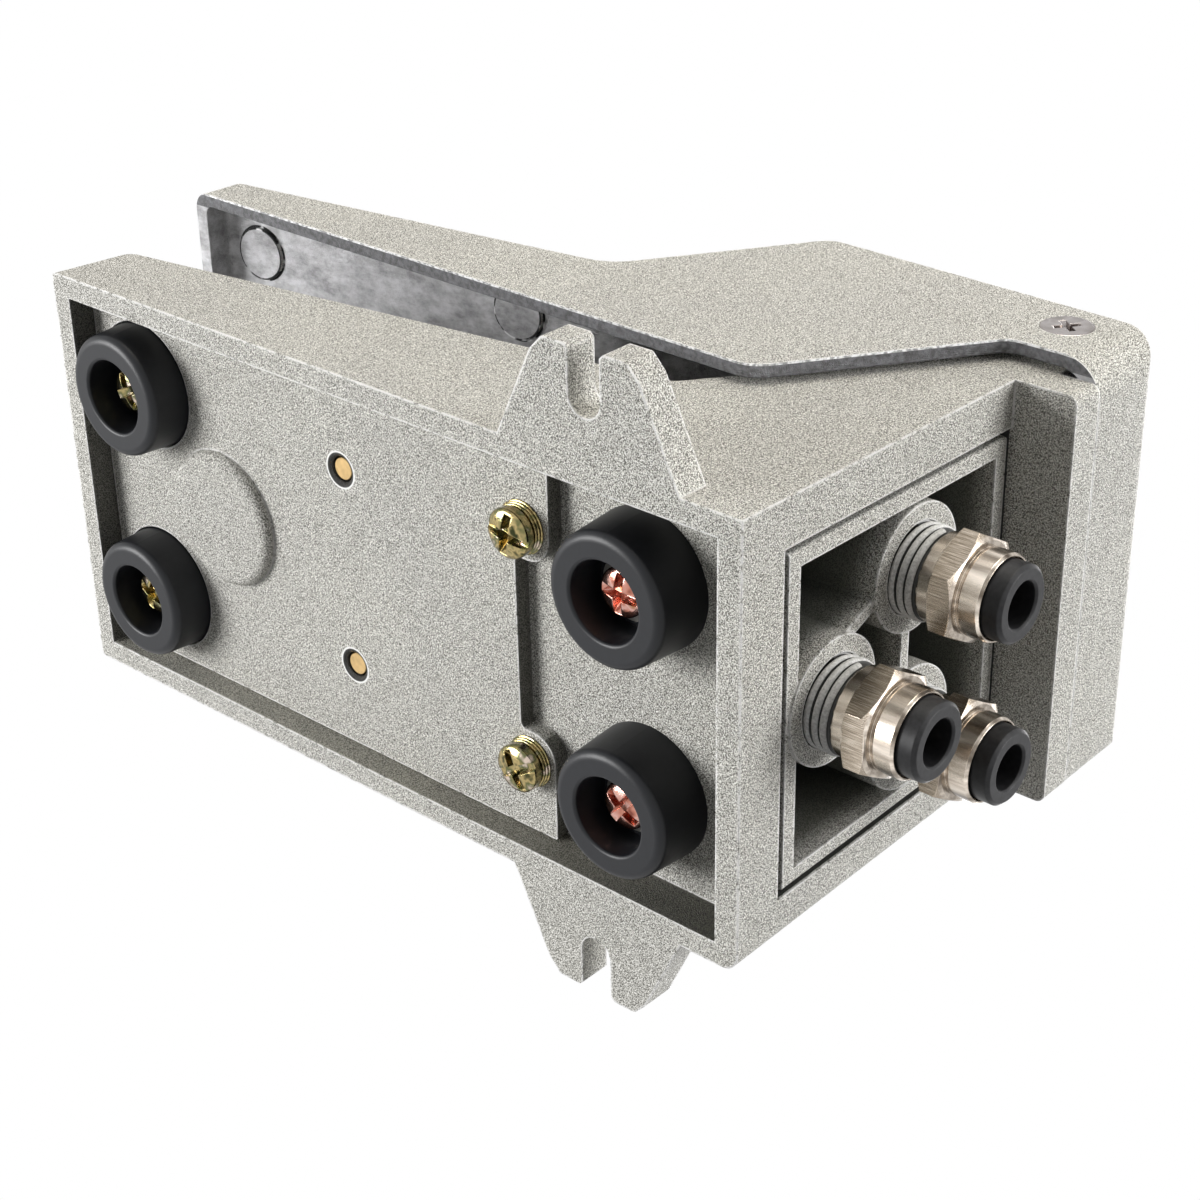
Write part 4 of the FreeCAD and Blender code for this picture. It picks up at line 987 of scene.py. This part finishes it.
HEX_TONE = ((0.36, (0.26, 0.22, 0.175)), (0.5, (0.38, 0.335, 0.28)), (0.68, (0.58, 0.53, 0.47)))
PAINTED_REFLECTION_TONE = ((0.36, (0.30, 0.27, 0.24)), (0.48, (0.85, 0.82, 0.78)), (0.60, (1.5, 1.46, 1.42)))
COLLAR_BLACK = ((0.3, (0.017, 0.017, 0.018)), (0.7, (0.031, 0.031, 0.033)))


def streaks(nodes, links, scale, stretch):
    """Fine lines: noise stretched along or around the bar."""
    return noise(nodes, links, scale, 3.0, turn=(0.0, 0.0, 0.0), stretch=stretch)


def painted_reflection(nodes, links):
    """Light and dark bands by the way the surface faces: a painted reflection of the room on the plated
    bar.
    """
    return noise(nodes, links, 2.1, 1.0, turn=(0.3, 0.5, 0.2), source="Normal")


nickel, nodes, links, shader = new_material("nickel_brass")
place = object_place(nodes, links)
head_tone = ramp(nodes, links, streaks(nodes, links, 700.0, (1.0, 0.12, 1.0)), HEAD_TONE)
hex_tone = ramp(nodes, links, streaks(nodes, links, 7000.0, (1.0, 0.04, 1.0)), HEX_TONE)
past_back = compare(nodes, links, place["Y"], "GREATER_THAN", HEX_START + HEX_CHAMFER)
before_front = compare(nodes, links, place["Y"], "LESS_THAN", HEX_END - HEX_CHAMFER)
on_hex = combine(nodes, links, past_back, "MULTIPLY", before_front)
plated = blend_colours(nodes, links, on_hex, head_tone, hex_tone)
# Painted reflection: the plated colour is multiplied by light and dark bands, brighter than white at the
# top.
painted_reflection_tone = ramp(nodes, links, painted_reflection(nodes, links), PAINTED_REFLECTION_TONE)
plated = blend_colours(nodes, links, 1.0, plated, painted_reflection_tone, "MULTIPLY")
coated = compare(nodes, links, place["Y"], "LESS_THAN", SEALANT_END)
paste_low = tuple(0.75 * c for c in SEALANT)
paste_high = tuple(1.15 * c for c in SEALANT)
crumbs = noise(nodes, links, 2600.0, 3.0, 0.6)
paste = ramp(nodes, links, crumbs, [(0.35, paste_low), (0.65, paste_high)])
from_axis = None
for port, port_x, port_z in PORTS:
    axes = {"X": place["X"], "Z": place["Z"]}
    offset = distance_from(nodes, links, (port_x, 0.0, port_z), axes)
    from_axis = offset if from_axis is None else combine(nodes, links, from_axis, "MINIMUM", offset)
# Painted shade: the thread grooves are painted near black.
in_groove = compare(nodes, links, from_axis, "LESS_THAN", GROOVE_EDGE)
paste = blend_colours(nodes, links, in_groove, paste, plain_colour(nodes, GROOVE_PAINTED_SHADE))
links.new(blend_colours(nodes, links, coated, plated, paste), shader.inputs["Base Color"])
links.new(rescale(nodes, links, coated, 0.0, 1.0, 1.0, 0.0), shader.inputs["Metallic"])
gloss = rescale(nodes, links, coated, 0.0, 1.0, PLATED_ROUGHNESS, SEALANT_ROUGHNESS)
links.new(gloss, shader.inputs["Roughness"])
turned_lines = streaks(nodes, links, 9000.0, (0.06, 1.0, 0.06))
turned_marks = add_bump(nodes, links, turned_lines, 0.000005, 0.5, rounded_normal(nodes, 0.00015))
links.new(turned_marks, shader.inputs["Normal"])

collar_plastic, nodes, links, shader = new_material("collar_plastic")
specks = noise(nodes, links, 1200.0, 3.0)
links.new(ramp(nodes, links, specks, COLLAR_BLACK), shader.inputs["Base Color"])
moulded = add_bump(nodes, links, specks, 0.00001, 0.5, rounded_normal(nodes, 0.00025))
links.new(moulded, shader.inputs["Normal"])
shader.inputs["Roughness"].default_value = 0.4
shader.inputs["Specular IOR Level"].default_value = 0.22

thread_length = THREAD_END - THREAD_START
ridge_height = thread_length - 2.0 * RIDGE_RADIUS
for port, port_x, port_z in PORTS:
    fitting = merged_copy(port + "_fitting")
    for corner in fitting.verts:
        out = Vector((corner.co.x - port_x, 0.0, corner.co.z - port_z))
        in_neck = THREAD_END + 2.0 * SAME_PLACE < corner.co.y < HEX_BACK + SAME_PLACE
        at_hex_back = HEX_BACK - SAME_PLACE < corner.co.y < HEX_BACK_END
        if corner.co.y < THREAD_END + SAME_PLACE and out.length > THREAD_CORE:
            corner.co -= out.normalized() * THREAD_DEPTH
        if in_neck and NECK_LOW < out.length < NECK_HIGH:
            corner.co += out.normalized() * (NECK_END - out.length)
        if at_hex_back and out.length > NECK_LOW:
            corner.co.y += HEX_START - HEX_BACK
    ridge = helix_shape(
        port + "_thread",
        THREAD_CREST - thread_length * THREAD_TAPER - RIDGE_RADIUS,
        THREAD_CREST - RIDGE_RADIUS,
        RIDGE_RADIUS,
        ridge_height / THREAD_PITCH,
        ridge_height,
        nickel,
    )
    turn = Matrix.Rotation(-math.pi / 2.0, 4, "X")
    turn = Matrix.Translation((port_x, THREAD_START + RIDGE_RADIUS, port_z)) @ turn
    bmesh.ops.transform(ridge, matrix=turn, verts=ridge.verts)
    joined(fitting, ridge)
    finished(fitting, port + "_push_in_body", nickel, "base", "nickel_brass", port + "_fitting")
    dress(port + "_release_collar", collar_plastic)
    dress(port + "_tube_seal", seal)
    dress(port + "_grip_ring", steel)

# Floor. A plain pale sheet just under the feet. It can't be seen from below and fades out
# with distance, so that no edge shows against the white room.
FLOOR_SIZE = 4.0
FLOOR_Z = -0.0002
FLOOR_COLOUR = (0.8, 0.8, 0.8)
FLOOR_FADE = 0.2
FLOOR_CLEAR = 0.6

floor_mesh = bpy.data.meshes.new("floor")
half = FLOOR_SIZE / 2.0
floor_corners = [(x * half, y * half, FLOOR_Z) for x, y in ((-1, -1), (1, -1), (1, 1), (-1, 1))]
floor_mesh.from_pydata(floor_corners, [], [(0, 1, 2, 3)])
floor = bpy.data.objects.new("floor", floor_mesh)
bpy.context.scene.collection.objects.link(floor)
floor_material, nodes, links, shader = new_material("floor")
shader.inputs["Base Color"].default_value = (*FLOOR_COLOUR, 1.0)
shader.inputs["Roughness"].default_value = 0.7
clear = nodes.new("ShaderNodeBsdfTransparent")
ray = nodes.new("ShaderNodeLightPath")
sides = nodes.new("ShaderNodeNewGeometry")
front = compare(nodes, links, sides.outputs["Backfacing"], "LESS_THAN", 0.5)
shown = combine(nodes, links, front, "MULTIPLY", ray.outputs["Is Camera Ray"])
place = nodes.new("ShaderNodeTexCoord")
offset = nodes.new("ShaderNodeVectorMath")
offset.operation = "LENGTH"
links.new(place.outputs["Object"], offset.inputs[0])
fade = rescale(nodes, links, offset.outputs["Value"], FLOOR_FADE, FLOOR_CLEAR, 1.0, 0.0)
shown = combine(nodes, links, shown, "MULTIPLY", fade)
blend = nodes.new("ShaderNodeMixShader")
links.new(shown, blend.inputs["Fac"])
links.new(clear.outputs["BSDF"], blend.inputs[1])
links.new(shader.outputs["BSDF"], blend.inputs[2])
links.new(blend.outputs["Shader"], nodes["Material Output"].inputs["Surface"])
floor_mesh.materials.append(floor_material)

# Camera. It looks up at the part from below and behind, and was fitted to the straight
# edges of the base casting.
FOCAL_PIXELS = 2364.66
PICTURE = 1200.0
SENSOR = 36.0
EYE = Vector((0.156409, 0.215887, -0.193473))
RIGHT = Vector((-0.017419, 0.748053, 0.663410))
DOWN = Vector((-0.880796, 0.302524, -0.364250))
AHEAD = Vector((-0.473176, -0.590674, 0.653612))

camera_data = bpy.data.cameras.new("camera")
camera_data.sensor_width = SENSOR
camera_data.lens = SENSOR * FOCAL_PIXELS / PICTURE
camera_data.clip_start = 0.01
camera = bpy.data.objects.new("camera", camera_data)
turn = Matrix((RIGHT, -DOWN, -AHEAD)).transposed()
camera.matrix_world = Matrix.Translation(EYE) @ turn.to_4x4()
bpy.context.scene.collection.objects.link(camera)
bpy.context.scene.camera = camera
bpy.context.scene.view_settings.view_transform = "Standard"

# Light. A white room that the camera and the shiny parts see, a weak even light from it,
# and four square lamps: two keys on the sides that the camera sees, one below, one above.
ROOM_LIGHT = 0.12
AIM = Vector((0.0, 0.0, 0.04))
WHITE = (1.0, 1.0, 1.0)
LAMPS = (
    ("side_key", (0.85, 0.0, 0.30), 0.5, 5.5, (1.0, 0.95, 0.86)),
    ("rear_key", (0.20, 0.85, 0.42), 0.5, 9.0, WHITE),
    ("under_key", (0.15, -0.62, -0.72), 0.5, 13.2, WHITE),
    ("top_fill", (-0.35, -0.3, 0.85), 0.7, 7.0, WHITE),
)

world = bpy.data.worlds.new("studio")
bpy.context.scene.world = world
world.use_nodes = True
nodes = world.node_tree.nodes
links = world.node_tree.links
soft = nodes["Background"]
soft.inputs["Color"].default_value = (*WHITE, 1.0)
soft.inputs["Strength"].default_value = ROOM_LIGHT
white = nodes.new("ShaderNodeBackground")
white.inputs["Color"].default_value = (*WHITE, 1.0)
white.inputs["Strength"].default_value = 1.0
ray = nodes.new("ShaderNodeLightPath")
seen = combine(nodes, links, ray.outputs["Is Camera Ray"], "MAXIMUM", ray.outputs["Is Glossy Ray"])
seen = combine(nodes, links, seen, "MAXIMUM", ray.outputs["Is Transmission Ray"])
blend = nodes.new("ShaderNodeMixShader")
links.new(seen, blend.inputs["Fac"])
links.new(soft.outputs["Background"], blend.inputs[1])
links.new(white.outputs["Background"], blend.inputs[2])
links.new(blend.outputs["Shader"], nodes["World Output"].inputs["Surface"])

for name, lamp_place, size, power, colour in LAMPS:
    data = bpy.data.lights.new(name, "AREA")
    data.size = size
    data.energy = power
    data.color = colour
    lamp = bpy.data.objects.new(name, data)
    lamp.location = lamp_place
    lamp.rotation_euler = (AIM - Vector(lamp_place)).to_track_quat("-Z", "Y").to_euler()
    bpy.context.scene.collection.objects.link(lamp)
